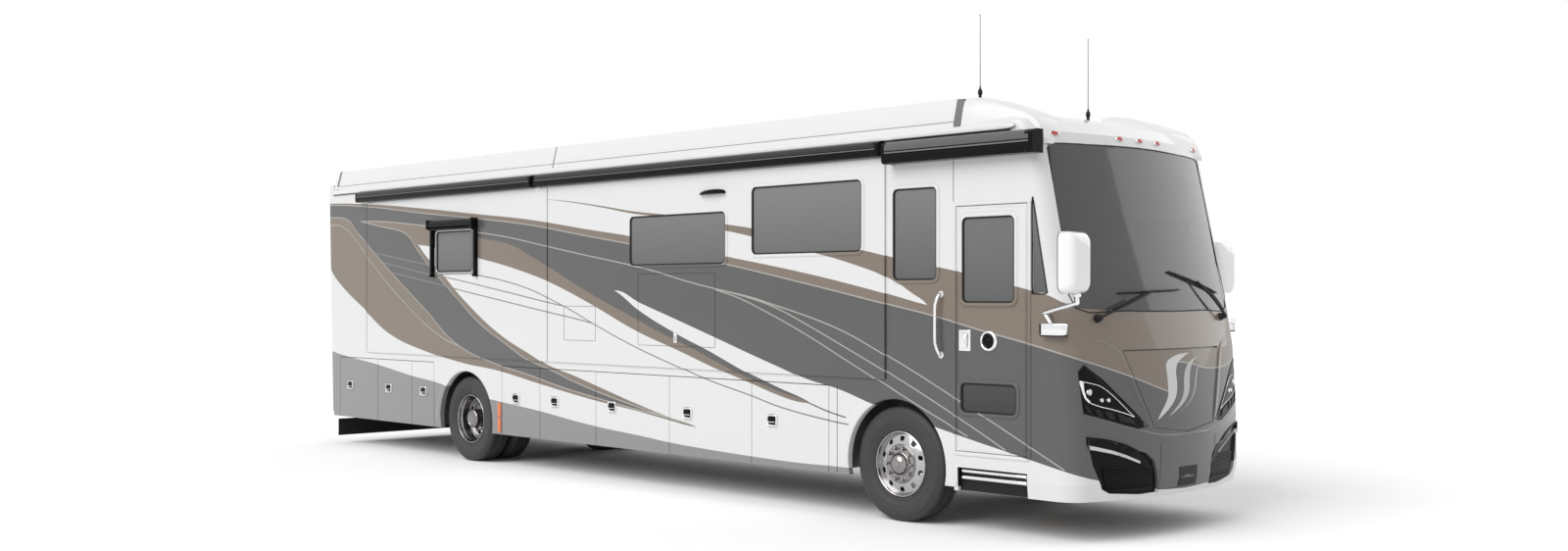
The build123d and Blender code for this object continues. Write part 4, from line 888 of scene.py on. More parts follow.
FRONT_BARREL = (
    (0.29, -0.115), (0.29, 0.107), (0.2885, 0.113), (0.2845, 0.1155), (0.2795, 0.113), (0.2765, 0.105),
    (0.2735, 0.09), (0.269, 0.079), (0.264, 0.077), (0.264, 0.064), (0.276, 0.06), (0.276, -0.115))
FRONT_HUB = (
    (0.045, 0.07), (0.176, 0.08), (0.176, 0.102), (0.1735, 0.106), (0.168, 0.108), (0.165, 0.114),
    (0.16, 0.1165), (0.118, 0.114), (0.045, 0.114))
FRONT_CAP = (
    (0.045, 0.11), (0.106, 0.11), (0.106, 0.119), (0.102, 0.1225), (0.096, 0.124), (0.093, 0.133),
    (0.086, 0.147), (0.074, 0.161), (0.058, 0.17), (0.044, 0.1735), (0.041, 0.1745), (0.04, 0.179),
    (0.035, 0.18), (0.0, 0.18), (0.0, 0.11))
REAR_BARREL = (
    (0.29, -0.115), (0.29, 0.107), (0.2885, 0.113), (0.2845, 0.1155), (0.279, 0.113), (0.276, 0.103),
    (0.274, 0.076), (0.266, 0.064), (0.264, 0.056), (0.265, -0.02), (0.26, -0.03), (0.25, -0.034),
    (0.248, -0.04), (0.256, -0.078), (0.266, -0.115))
REAR_HUB = (
    (0.045, -0.23), (0.11, -0.23), (0.11, -0.09), (0.107, 0.03), (0.11, 0.034), (0.11, 0.084),
    (0.107, 0.094), (0.098, 0.1), (0.088, 0.099), (0.082, 0.092), (0.062, 0.088), (0.0, 0.087), (0.0, -0.23))
for side in SIDES:
    hand, y = HAND[side], side * TRACK_FRONT
    wheel = Piece()
    turned_about_axle(wheel, FRONT_X, y, side, FRONT_BARREL)
    wheel.bm.from_mesh(holed_disc(FRONT_X, y, side, 0.172, 0.2675,
                                  lambda r: 0.104 - 0.026 * max(0.0, (r - 0.168) / 0.1) ** 1.35))
    rim = wheel.done(f"rim_front_{hand}", polished, f"front_wheel_{hand}", "rim_polished", 30)
    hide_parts(f"front_rim_{hand}")
    hub = Piece()
    turned_about_axle(hub, FRONT_X, y, side, FRONT_HUB)
    turned_about_axle(hub, FRONT_X, y, side, FRONT_CAP)
    hub.bm.from_mesh(lug_nuts(FRONT_X, y, side, 0.113))
    hub.done(f"hub_front_{hand}", hub_chrome_painted_dark, f"front_wheel_{hand}", "chrome_trim", 30)

    y, inner_y = side * TRACK_REAR, side * (TRACK_REAR - TWIN)
    wheel = Piece()
    turned_about_axle(wheel, REAR_X, y, side, REAR_BARREL)
    turned_about_axle(wheel, REAR_X, inner_y, -side, REAR_BARREL)
    turned_about_axle(wheel, REAR_X, y, side, ((0.1, -0.11), (0.175, -0.11), (0.175, -0.088),
                                               (0.17, -0.082), (0.1, -0.082)))
    wheel.bm.from_mesh(holed_disc(REAR_X, y, side, 0.172, 0.262, lambda r: -0.093 + 0.06 * (r - 0.172)))
    wheel.bm.from_mesh(holed_disc(REAR_X, inner_y, side, 0.1, 0.262, lambda r: 0.11))
    rim = wheel.done(f"rims_rear_{hand}", polished, f"rear_wheels_{hand}", "rim_polished", 30)
    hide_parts(f"rear_rims_{hand}")
    hub = Piece()
    turned_about_axle(hub, REAR_X, y, side, REAR_HUB)
    hub.bm.from_mesh(lug_nuts(REAR_X, y, side, -0.083))
    hub.done(f"hub_rear_{hand}", hub_chrome_painted_dark, f"rear_wheels_{hand}", "chrome_trim", 30)

# %% [markdown]
# Each window sits in a clamp ring of painted aluminium, which stands a centimetre proud
# of the wall, with a rubber gasket between ring and glass. Both are one section swept
# round a rounded rectangle, so every window uses the same two profiles.

# %% Window rings and gaskets
MAIN_PANES = ((0.38, 1.876, 2.305, 2.81), (2.265, 3.701, 2.385, 3.024))
LEFT_PANES = ((-4.3, -3.5, 2.282, 2.766), (-0.9, 0.6, 2.305, 2.81), (1.7, 3.2, 2.305, 2.81))
SIDE_PANE, DRIVER_PANE = (4.07, 4.56, 2.125, 2.915), (4.85, 5.48, 1.99, 2.7)
DOOR_PANES = ((4.85, 5.39, 1.93, 2.64), (4.835, 5.41, 1.01, 1.25))
CLAMP = ((0.004, -0.01), (0.004, 0.006), (0.008, 0.01), (0.028, 0.01), (0.034, 0.007), (0.038, 0.001),
         (0.038, -0.006))
GASKET = (
    (-0.009, -0.012), (-0.009, 0.0), (-0.005, 0.004), (0.001, 0.0065), (0.005, 0.0065), (0.006, -0.012))
WINDOWS = ((RIGHT, "main_slide_body", "main", SLIDE_FACE, MAIN_PANES, 0.05),
           (LEFT, "left_slide_body", "left", SLIDE_FACE, LEFT_PANES, 0.05),
           (RIGHT, "coach", "side", HALF, (SIDE_PANE,), 0.045),
           (LEFT, "coach", "driver", HALF, (SIDE_PANE, DRIVER_PANE), 0.045),
           (RIGHT, "door_leaf", "door", HALF, DOOR_PANES, 0.045))
for side, body, name, face_y, panes, corner in WINDOWS:
    rings, rubber = Piece(), Piece()
    for pane in panes:
        window_ring(rings, pane, side, face_y, CLAMP, corner)
        window_ring(rubber, pane, side, face_y, GASKET, corner)
    rings.done(f"window_rings_{name}", coach_paint, body, "body_paint", 50)
    rubber.done(f"window_gaskets_{name}", black_rubber, body, "rubber_black", 50)

# %% [markdown]
# The bedroom window has its own small roller awning: a black case over the window, two
# side arms, and a light aluminium frame. The case is a folded sheet, so its section is
# drawn once and run along the window.


# %% Bedroom window awning
def run_along_x(piece, side, face_y, x0, x1, section):
    """Sweeps a section of (reach from the wall, height) straight along the wall."""
    piece.loft([[(x, side * (face_y + out), z) for out, z in section] for x in (x0, x1)])


BEDROOM_PANE = (-3.443, -2.648, 2.282, 2.766)
bedroom = Piece()
box_section = (
    (-0.01, 2.815), (0.06, 2.815), (0.082, 2.826), (0.09, 2.85), (0.088, 2.88), (0.07, 2.902),
    (0.02, 2.908), (-0.01, 2.908))
run_along_x(bedroom, RIGHT, SLIDE_FACE, -3.525, -2.56, box_section)
for x in (-3.552, -2.56):
    bedroom.block((x, -SLIDE_FACE - 0.096, 2.8), (x + 0.028, -SLIDE_FACE + 0.01, 2.914), 0.006)
for x in (-3.545, -2.578):
    bedroom.block((x, -SLIDE_FACE - 0.046, 2.235), (x + 0.044, -SLIDE_FACE + 0.01, 2.81), 0.008)
    bedroom.block((x - 0.004, -SLIDE_FACE - 0.054, 2.215), (x + 0.048, -SLIDE_FACE + 0.01, 2.25), 0.008)
bedroom.bar([(x, -SLIDE_FACE - 0.06, 2.8) for x in (-3.525, -3.0, -2.545)], 0.014)
bedroom.done("window_awning_bedroom", black_gloss, "rear_slide_body", "black_case", 40)
bright, rubber = Piece(), Piece()
window_ring(bright, BEDROOM_PANE, RIGHT, SLIDE_FACE, CLAMP, 0.04)
window_ring(rubber, BEDROOM_PANE, RIGHT, SLIDE_FACE, GASKET, 0.04)
bright.done("window_frame_bedroom", polished, "rear_slide_body", "rim_polished", 50)
rubber.done("window_gasket_bedroom", black_rubber, "rear_slide_body", "rubber_black", 50)

# %% [markdown]
# The long awnings roll up in cases under the roof rail. A case is an extrusion with a
# groove along its front, and a moulded cap closes each end. The face above the groove is a
# paler grey, a painted sheen where the case meets the light, and a grey line along the
# groove is a painted highlight. All four share one section, scaled to their height and
# reach. The one over the entry door stands further out, so the door opens under it; its
# painted sheen is paler still.

# %% Long awnings, as (side, rear x, front x, bottom z, top z, reach)
AWNINGS = ((RIGHT, -5.35, -1.35, 3.215, 3.348, 0.095), (RIGHT, -1.3, 3.967, 3.215, 3.348, 0.095),
           (RIGHT, 4.05, 5.68, 3.135, 3.325, 0.15), (LEFT, -5.195, 3.7, 3.215, 3.348, 0.095))
SHELL = ((0.0, 1.0), (0.55, 1.0), (0.8, 0.94), (0.93, 0.84), (0.975, 0.7), (0.975, 0.48), (0.93, 0.44),
         (0.975, 0.38), (0.99, 0.26), (0.95, 0.1), (0.82, 0.0), (0.0, 0.0))
# The upper face of a case, coloured a paler grey as painted sheen.
SHEEN_FACE = (
    (0.5, 0.985), (0.55, 1.006), (0.81, 0.955), (0.95, 0.85), (1.0, 0.72), (1.0, 0.575), (0.96, 0.565),
    (0.9, 0.6))
# A thin grey line along the groove, a painted highlight.
STRIP = ((0.93, 0.45), (1.0, 0.455), (1.0, 0.515), (0.93, 0.52))
cases, caps, fascias, door_fascia, strips = Piece(), Piece(), Piece(), Piece(), Piece()
for side, x0, x1, z0, z1, reach in AWNINGS:
    tall = z1 - z0
    for piece, shape, inset in ((cases, SHELL, 0.03), (door_fascia if x0 > 4 else fascias, SHEEN_FACE, 0.04),
                                (strips, STRIP, 0.04)):
        run_along_x(piece, side, HALF, x0 + inset, x1 - inset,
                    [(reach * out, z0 + tall * up) for out, up in shape])
    rim = [(0.0, z1 + 0.001), (reach * 0.57, z1 + 0.001), (reach * 0.84, z1 - tall * 0.05),
           (reach * 0.98, z1 - tall * 0.16), (reach, z0 + tall * 0.3), (reach * 0.97, z0 + tall * 0.08),
           (reach * 0.83, z0 - 0.002), (0.0, z0 - 0.002)]
    for a, b in ((x0, x0 + 0.042), (x1 - 0.085, x1)):
        caps.loft([[(a + (b - a) * t, side * (HALF + out * narrow), z) for out, z in rim]
                   for t, narrow in ((0, 0.97), (0.1, 1.0), (0.9, 1.0), (1, 0.97))])
cases = cases.done("awning_shells", black_gloss, "coach", "black_case", 40)
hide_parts("awning_cases")
caps.done("awning_end_caps", black_gloss, "coach", "black_case", 25)
fascias.done("awning_fascias", sheen_dark_grey, "coach", "black_case", 60)
door_fascia.done("door_awning_fascia", sheen_pale_grey, "coach", "black_case", 60)
strips.done("awning_strips", sealant_and_highlight_grey, "coach", "black_case", 25)

# %% [markdown]
# A porch lamp lights the ground beside the slide-out: a slim black visor, bulging in the
# middle. Its section is the same all along and swells with the sine of the way.

# %% Porch lamp
porch = Piece()
rings = []
for t in range(13):
    turn = pi * t / 12
    x = 1.695 - 0.185 * cos(turn)
    bulge = sin(turn) ** 0.6
    rings.append([(x, -SLIDE_FACE + 0.004, 2.99), (x, -SLIDE_FACE - 0.01 - 0.04 * bulge, 2.99),
                  (x, -SLIDE_FACE - 0.012 - 0.042 * bulge, 2.996),
                  (x, -SLIDE_FACE - 0.008 - 0.026 * bulge, 2.996 + 0.03 * bulge),
                  (x, -SLIDE_FACE + 0.004, 2.998 + 0.044 * bulge)])
porch.loft(rings)
porch.done("porch_lamp", black_gloss, "main_slide_body", "lamp_black", 40)

# %% [markdown]
# The entry door closes against a raised moulding, glued round the opening just outside
# the sweep of the leaf. A coach latch and a round lock plate sit side by side below the
# window. The plate is left bare: a turned ring round a dark dished middle.

# %% Entry door trim
BEAD = ((-0.002, -0.004), (0.0, 0.006), (0.006, 0.01), (0.026, 0.01), (0.032, 0.006), (0.034, -0.004))
PANEL_LINE = ((0, -0.004), (0.001, 0.003), (0.004, 0.004), (0.007, 0.003), (0.008, -0.004))
moulding = Piece()
window_ring(moulding, (4.776, 5.527, 0.672, 2.743), RIGHT, HALF, BEAD, 0.004)
moulding.done("door_moulding", coach_paint, "coach", "body_paint", 50)
leaf = Piece()
window_ring(leaf, (4.822, 5.424, 1.892, 2.684), RIGHT, HALF, PANEL_LINE, 0.06)
window_ring(leaf, (4.8, 5.5, 0.7, 2.716), RIGHT, HALF, PANEL_LINE, 0.02)
leaf.done("door_panel_lines", coach_paint, "door_leaf", "body_paint", 50)

plate = Piece()
plate.block((4.812, -HALF - 0.01, 1.52), (4.938, -HALF + 0.004, 1.7), 0.006, 3)
window_ring(plate, (4.842, 4.905, 1.552, 1.668), RIGHT, HALF + 0.01,
            ((0, -0.002), (0.001, 0.004), (0.006, 0.005), (0.008, -0.002)), 0.008)
plate.bar([(4.902, -HALF - 0.014, 1.56), (4.896, -HALF - 0.03, 1.585), (4.893, -HALF - 0.033, 1.61),
           (4.896, -HALF - 0.03, 1.64), (4.902, -HALF - 0.014, 1.662)], 0.008)
plate.turned(((0.0, 0.01), (0.009, 0.01), (0.009, 0.017), (0.007, 0.019), (0.0, 0.019)),
             (4.858, -HALF, 1.685), (0, -1, 0), 24)
plate.done("door_latch", chrome, "door_leaf", "chrome_trim", 40)
ring_centre = (5.13, -HALF, 1.611)
lock = Piece()
lock.turned(((0.06, -0.004), (0.06, 0.01), (0.065, 0.019), (0.074, 0.022), (0.083, 0.018), (0.09, 0.006),
             (0.09, -0.004)), ring_centre, (0, -1, 0), 72)
lock.done("door_lock_ring", chrome, "door_leaf", "chrome_trim", 40)
dish = Piece()
dish.turned(((0.0, -0.003), (0.063, -0.003), (0.063, 0.006), (0.05, 0.011), (0.03, 0.006), (0.02, 0.007),
             (0.012, 0.012), (0.0, 0.013)), ring_centre, (0, -1, 0), 48)
dish.done("door_lock_dish", black_gloss, "door_leaf", "lamp_black", 30)

# %% [markdown]
# The grab rail beside the door is a bent tube on two round feet. A curve eased through a
# few points gives the tube its bends, as a pipe bender would.

# %% Grab rail
grab = Piece()
out = HALF + 0.048
grab.bar(eased([(4.612, -HALF + 0.004, 2.0), (4.611, -HALF - 0.022, 1.994), (4.604, -out + 0.006, 1.962),
                (4.592, -out, 1.92), (4.586, -out, 1.885), (4.585, -out, 1.74), (4.586, -out, 1.61),
                (4.592, -out, 1.572), (4.604, -out + 0.006, 1.528), (4.612, -HALF - 0.022, 1.488),
                (4.613, -HALF + 0.004, 1.48)], 4, False), 0.0155, 16)
for x, z in ((4.612, 2.0), (4.613, 1.48)):
    grab.turned(((0.0, -0.002), (0.03, -0.002), (0.03, 0.006), (0.024, 0.012), (0.0, 0.014)),
                (x, -HALF, z), (0, -1, 0), 32)
grab = grab.done("grab_rail", chrome, "coach", "chrome_trim", 40)
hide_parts("grab_handle")

# %% [markdown]
# Every storage door has one pull latch at hand height. It is a square chrome bezel with a
# cup pressed into it and a paddle across the upper half. One latch is built, and the tree
# for rows sets it on the doors of a side, one at a time, since each door swings alone.

# %% Storage door latches
BEZEL = ((-0.02, -0.002), (-0.02, 0.004), (-0.014, 0.01), (-0.005, 0.013), (0.001, 0.01), (0.004, -0.002))
PADDLE = ((0.0, 0.036), (0.01, 0.036), (0.015, 0.028), (0.016, 0.002), (0.013, -0.01), (0.0, -0.012))


def latch_parts(side):
    """The bezel with its paddle, and the dark cup, standing at the origin."""
    bezel, cup = Piece(), Piece()
    window_ring(bezel, (-0.067, 0.067, -0.057, 0.057), side, 0, BEZEL, 0.02)
    cup.loft([[(x, side * out, z) for out, z in PADDLE] for x in (-0.046, 0.046)])
    bezel.bar([(x, side * out, z) for x, out, z in
               ((-0.044, 0.014, -0.013), (0.0, 0.015, -0.014), (0.044, 0.014, -0.013))], 0.005, 8)
    cup.block((-0.049, min(0, side * 0.003), -0.04), (0.049, max(0, side * 0.003), 0.04), 0.001)
    return bezel, cup


SEAMS = {RIGHT: ((-5.926, 1), (-4.922, 2), (-4.074, 3), (-2.05, 4), (-1.289, 5), (-0.246, 6), (0.994, 7),
                 (2.234, 8)),
         LEFT: ((-2.05, 1), (-0.7, 2), (0.65, 3), (2.0, 4))}
for side in SIDES:
    for seam, number in SEAMS[side]:
        where = (seam + 0.29, side * 1.2875, 0.8)
        body = f"bay_leaf_{HAND[side]}_{number}"
        for kind, part, metal, slot in zip(("latch", "latch_cup"), latch_parts(side), (chrome, black_gloss),
                                           ("chrome_trim", "black_case")):
            mesh = repeated(ROW, part, 1, where, (0, 0, 0))
            place(f"{kind}_{HAND[side]}_{number}", mesh, metal, body, slot, 40)

# %% [markdown]
# Small fittings of the walls: a pair of reflectors ahead of each rear wheel, and flush
# hatches in the slide-out with a thumb latch.

# %% Reflectors and hatches
reflectors = Piece()
for side in SIDES:
    for z0 in (0.395, 0.57):
        low = min(side * (HALF - 0.002), side * (HALF + 0.012))
        reflectors.block((-2.128, low, z0), (-2.066, low + 0.014, z0 + 0.166), 0.006, 3)
reflectors.done("side_reflectors", amber_lens, "coach", "lamp_red", 40)

HATCH_LINE = ((0, -0.002), (0.0005, 0.0018), (0.002, 0.0024), (0.0035, 0.0018), (0.004, -0.002))
seal = Piece()
window_ring(seal, (0.51, 1.72, 1.475, 2.21), RIGHT, SLIDE_FACE, HATCH_LINE, 0.012)
window_ring(seal, (-0.8, -0.23, 1.5, 1.87), RIGHT, SLIDE_FACE, HATCH_LINE, 0.012)
seal.done("hatch_seals", black_satin, "main_slide_body", "rubber_black", 60)
thumb = Piece()
thumb.block((1.095, -SLIDE_FACE - 0.012, 1.505), (1.145, -SLIDE_FACE + 0.002, 1.615), 0.006, 3)
thumb.bar([(1.12, -SLIDE_FACE - out, z) for out, z in ((0.016, 1.575), (0.02, 1.56), (0.016, 1.53))],
          0.01)
thumb.done("hatch_latch", gel_coat, "main_slide_body", "body_paint", 40)

# %% [markdown]
# Walls are laminated in panels, and every joint between two of them is filled with black
# sealant. The joints are thin strips that stand just proud of the wall. A like dark strip
# near the rear edge of each rear slide-out is a painted shadow, the line of shade round the
# slide's flange. The small fixed pane behind the windshield is edged by a bead that follows
# its rounded corners.

# %% Seams of the walls
SHADOW_LINE_X = -5.18              # dark line near the rear edge of both rear slide-outs, a painted shadow of the flange
for side, body in ((RIGHT, "rear_slide_body"), (LEFT, "left_slide_body")):
    line = Piece()
    low, high = sorted((side * (SLIDE_FACE - 0.001), side * (SLIDE_FACE + 0.0016)))
    line.block((SHADOW_LINE_X, low, 1.262), (SHADOW_LINE_X + 0.006, high, 3.19), 0.0004, 1)
    line.done(f"slide_edge_seal_{HAND[side]}", black_satin, body, "rubber_black", 30)
wall_seams = Piece()
for side in SIDES:
    low, high = sorted((side * (HALF - 0.001), side * (HALF + 0.0014)))
    for x, z0, z1 in ((3.378, 0.376, 1.165), (4.746, 2.78, 3.13)):
        wall_seams.block((x, low, z0), (x + 0.0055, high, z1), 0.0004, 1)
quarter = [
    (5.572, 2.748), (5.572, 2.4), (5.572, 2.04), (5.584, 2.006), (5.62, 2.001), (5.69, 2.001),
    (5.716, 2.014), (5.716, 2.04), (5.65, 2.39), (5.588, 2.735)]
wall_seams.bar([(x, -HALF - 0.001, z) for x, z in eased(quarter) + [quarter[0]]], 0.0075, 8, 0.7)
wall_seams.done("wall_seams", black_rubber, "coach", "rubber_black", 40)

# %% [markdown]
# The entry step slides out of a recess under the door, lined in black as a painted shade.
# Its front edge is two bright tubes, each with a dark bar below it that paints the shade in
# the gap, and the tread lies behind them. The black lining stays with the coach, and
# everything else rides on the step.

# %% Entry step
tubes, tread_and_gap_shade, liner = Piece(), Piece(), Piece()
for z in (0.51, 0.455):
    ends = ((4.811, 0.6), (4.815, 0.9), (4.83, 1.0), (5.48, 1.0), (5.495, 0.9), (5.499, 0.6))
    tubes.loft([[(x, -1.2425 + 0.0215 * k * cos(t), z + 0.0215 * k * sin(t))
                 for t in turns(20)] for x, k in ends])
    # A dark bar under each tube paints the shade in the gap between the tubes.
    tread_and_gap_shade.bar([(x, -1.253, z - 0.0135) for x in (4.825, 5.15, 5.485)], 0.0085, 10)
tread_and_gap_shade.block((4.812, -1.236, 0.472), (5.498, -0.964, 0.499), 0.004)
tubes = tubes.done("step_tubes", chrome, "step", "chrome_trim", 50)
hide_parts("entry_step")
tread_and_gap_shade.done("step_tread", black_rubber, "step", "rubber_black", 40)
# The black lining paints the shade inside the recess: top, back, both ends and valance.
for low, high in (((4.7915, -1.275, 0.536), (5.5185, -0.95, 0.5395)),       # top
                  ((4.7915, -0.954, 0.376), (5.5185, -0.95, 0.5395)),       # back
                  ((4.7915, -1.275, 0.376), (4.7945, -0.95, 0.5395)),       # rear end
                  ((5.5155, -1.275, 0.376), (5.5185, -0.95, 0.5395)),       # front end
                  ((4.7915, -1.2365, 0.342), (5.5185, -1.233, 0.43))):    # valance
    liner.block(low, high, 0.0008, 1)
liner.done("step_liner", black_satin, "coach", "black_case", 40)

# %% [markdown]
# A rolled lip stiffens the edge of each wheel arch. Its section is turned about the axle,
# from skirt to skirt, and flattens towards both ends.

# %% Arch lips
LIP = ((0.5745, -0.02), (0.5745, 0.006), (0.58, 0.01), (0.59, 0.011), (0.655, 0.006), (0.69, -0.002),
       (0.69, -0.006))
lips = Piece()
for side in SIDES:
    for x in (FRONT_X, REAR_X):
        rings = []
        start = asin((0.374 - TYRE_R) / 0.5745)
        for i in range(49):
            turn = start + (pi - 2 * start) * i / 48
            ring = []
            for r, lift in LIP:
                z = TYRE_R + r * sin(turn)
                fade = 1.0 if z > 0.55 or lift <= 0 else max(0.15, (z - 0.37) / 0.18)
                ring.append((x + r * cos(turn), side * (HALF + lift * fade), max(z, 0.372)))
            rings.append(ring)
        lips.loft(rings)
lips.done("arch_lips", coach_paint, "coach", "body_paint", 50)

# %% [markdown]
# The nose is one curved moulding, so what lies on it has to follow the curve. Rays cast
# backwards onto the CAD surface give the depth at each point. An outline is filled with
# small triangles, each corner is dropped on the surface, and the skin gets a thickness.

# %% Laying shapes on the nose
skin = bmesh.new()
for node in ("front_cap", "nose_hood", "windshield", "headlamps", "grille_panels"):
    skin.from_mesh(NODES[node].data)
nose = BVHTree.FromBMesh(skin)
skin.free()


def on_nose(y, z):
    """The point and outward normal of the nose's surface here. Over a gap, its edge counts."""
    best = None
    for dy, dz in ((0, 0), (0.007, 0), (-0.007, 0), (0, 0.007), (0, -0.007)):
        hit, normal, _, _ = nose.ray_cast(Vector((7.0, y + dy, z + dz)), Vector((-1, 0, 0)))
        if hit and (best is None or hit.x > best[0].x + 0.014):
            best = (Vector((hit.x, y, z)), normal)
    return best or (Vector((6.0, y, z)), Vector((1, 0, 0)))


def inside(points, y, z):
    """True where (y, z) lies within a closed outline."""
    result = False
    for (y0, z0), (y1, z1) in zip(points, points[1:] + points[:1]):
        if (z0 > z) != (z1 > z) and y < (y1 - y0) * (z - z0) / (z1 - z0) + y0:
            result = not result
    return result


def divided(points, step, closed=True):
    """The same line with points no further apart than a step."""
    result = []
    ends = points[1:] + (points[:1] if closed else [])
    for a, b in zip(points, ends):
        count = max(1, int(hypot(b[0] - a[0], b[1] - a[1]) / step))
        result += [(a[0] + (b[0] - a[0]) * i / count, a[1] + (b[1] - a[1]) * i / count) for i in range(count)]
    return result if closed else result + [points[-1]]


def skin_piece(piece, outline, lift, depth=0.004, step=0.03, crown=0.0):
    """A thin shell of an outline, lying on the nose. A crown raises its middle."""
    edge = divided(list(outline), step)
    low_y, high_y = min(p[0] for p in edge), max(p[0] for p in edge)
    low_z, high_z = min(p[1] for p in edge), max(p[1] for p in edge)
    grid = []
    for i in range(1, int((high_y - low_y) / step) + 1):
        for j in range(1, int((high_z - low_z) / step) + 1):
            p = (low_y + i * step, low_z + j * step)
            near = min(hypot(p[0] - q[0], p[1] - q[1]) for q in edge)
            if near > step * 0.45 and inside(edge, *p):
                grid.append(p)
    flat = [Vector(p) for p in edge + grid]
    links = [(i, (i + 1) % len(edge)) for i in range(len(edge))]
    verts, _, faces, _, _, _ = delaunay_2d_cdt(flat, links, [], 1, 1e-6)
    top, bottom = [], []
    for v in verts:
        hit, normal = on_nose(v.x, v.y)
        near = min(hypot(v.x - q[0], v.y - q[1]) for q in edge)
        rise = crown * min(1.0, near / 0.05) ** 0.5 if crown else 0.0
        top.append(hit + normal * min(lift + rise, max(0.0004, 6.2118 - hit.x)))
        bottom.append(hit - normal * depth)
    count = len(verts)
    sides = {}
    for face in faces:
        for a, b in zip(face, list(face[1:]) + [face[0]]):
            sides[(a, b)] = sides.get((a, b), 0) + 1
    made = [tuple(f) for f in faces] + [tuple(i + count for i in reversed(f)) for f in faces]
    made += [(b, a, a + count, b + count) for a, b in sides if (b, a) not in sides]
    return piece.add(top + bottom, made)


def bead_on_nose(piece, line, radius, lift=0.0, closed=False, step=0.03):
    """A bead or seam that follows a line of the front view over the nose."""
    points = [on_nose(y, z) for y, z in divided(list(line), step, closed)]
    spine = [hit + normal * lift for hit, normal in points]
    if closed:
        spine.append(spine[0])
    piece.bar(spine, radius, 8)


def on_side(side, outline):
    """An outline drawn for the left half, or its mirror image."""
    return [(side * y, z) for y, z in outline]


print("nose surface ready, nose tip at x", round(on_nose(0, 0.9)[0].x, 3))

# %% [markdown]
# A headlamp is a black bowl, and here the CAD solid is that bowl. Over it lie the bright
# edge of the lens, three projector lamps with domed glass, and a row of dark slats that
# carry the lines of the lamp down to the bumper.

# %% Headlamps
LENS = eased([(1.187, 1.306), (1.158, 1.3), (1.08, 1.284), (0.991, 1.258), (0.895, 1.196), (0.784, 1.103),
              (0.722, 1.048), (0.672, 1.008), (0.69, 1.01), (0.775, 1.038), (0.915, 1.076), (1.004, 1.096),
              (1.118, 1.136), (1.157, 1.183), (1.175, 1.245)], 3)
LENS_STRIP = [
    (1.188, 1.31), (1.16, 1.297), (1.157, 1.232), (1.142, 1.177), (1.104, 1.139), (1.124, 1.133),
    (1.16, 1.178), (1.178, 1.25)]
PROJECTORS = ((1.111, 1.217, 0.023), (0.997, 1.15, 0.016), (0.93, 1.148, 0.016))
SLATS = (
    ((1.165, 1.13), (1.12, 1.09), (1.092, 1.03), (1.135, 1.06)),
    ((1.075, 1.085), (1.02, 1.07), (0.99, 1.01), (1.045, 1.025)),
    ((0.975, 1.062), (0.905, 1.05), (0.875, 0.99), (0.945, 1.0)),
    ((0.85, 1.036), (0.7, 0.99), (0.665, 0.942), (0.83, 0.975)))
BOWL_EDGE = [
    (0.525, 0.925), (0.64, 0.906), (0.905, 0.978), (1.17, 1.05), (1.196, 1.38), (1.15, 1.432), (0.98, 1.29),
    (0.76, 1.1)]
rims, bulbs, slats, seals = Piece(), Piece(), Piece(), Piece()
for side in SIDES:
    bead_on_nose(rims, on_side(side, LENS), 0.0032, 0.002, closed=True, step=0.05)
    skin_piece(rims, on_side(side, LENS_STRIP), 0.006, 0.002, 0.02, crown=0.003)
    for y, z, r in PROJECTORS:
        hit, normal = on_nose(side * y, z)
        axis = (normal + Vector((1.2, 0, 0))).normalized()
        base = hit - axis * 0.004
        rims.turned(((r * 0.8, -0.01), (r * 1.16, -0.01), (r * 1.2, 0.006), (r * 1.1, 0.012),
                     (r * 0.96, 0.01), (r * 0.84, 0.002)), base, axis, 40)
        dome = [(r * 0.86 * cos(radians(a)), 0.002 + r * 0.5 * sin(radians(a))) for a in range(0, 90, 15)]
        bulbs.turned([(0.0, -0.01), (r * 0.84, -0.01)] + dome + [(0.0, 0.002 + r * 0.5)], base, axis, 32)
    for slat in SLATS:
        skin_piece(slats, on_side(side, slat), 0.007, 0.004, 0.025, crown=0.004)
    bead_on_nose(seals, on_side(side, BOWL_EDGE), 0.004, closed=True)
rims.done("headlamp_rims", chrome, "coach", "chrome_trim", 40)
bulbs.done("headlamp_bulbs", lamp_glass, "coach", "glass_dark", 40)
slats.done("headlamp_slats", black_satin, "coach", "lamp_black", 40)
seals.done("headlamp_seals", black_rubber, "coach", "rubber_black", 60)

# %% [markdown]
# The lower openings are black moulded grilles. A bright blade crosses the top of each one
# and thins towards the middle of the nose. Behind it fine slats stand in a row, which a
# tree copies upwards.

# %% Grille blades and slats
BLADE_UPPER = [(1.15, 0.8), (1.06, 0.782), (0.9, 0.745), (0.76, 0.702), (0.6, 0.642)]
BLADE_LOWER = [(0.604, 0.622), (0.76, 0.678), (0.9, 0.718), (1.06, 0.752), (1.14, 0.764)]
HOOD_OVER = [
    (1.155, 0.862), (1.05, 0.852), (0.93, 0.83), (0.78, 0.79), (0.65, 0.735), (0.54, 0.668), (0.47, 0.59),
    (0.455, 0.545), (0.54, 0.585), (0.64, 0.648), (0.76, 0.698), (0.9, 0.741), (1.06, 0.778), (1.15, 0.796)]
SLAT = ((-0.01, -0.007), (0.003, -0.005), (0.006, 0.0), (0.003, 0.004), (-0.01, 0.002))
blades, brows = Piece(), Piece()
for side in SIDES:
    skin_piece(blades, on_side(side, BLADE_UPPER + BLADE_LOWER), 0.016, 0.002, 0.04, crown=0.006)
    skin_piece(brows, on_side(side, HOOD_OVER), 0.012, 0.002, 0.04)
blades.done("grille_blades", polished, "coach", "chrome_trim", 40)
brows.done("grille_brows", black_gloss, "coach", "grille_black", 40)
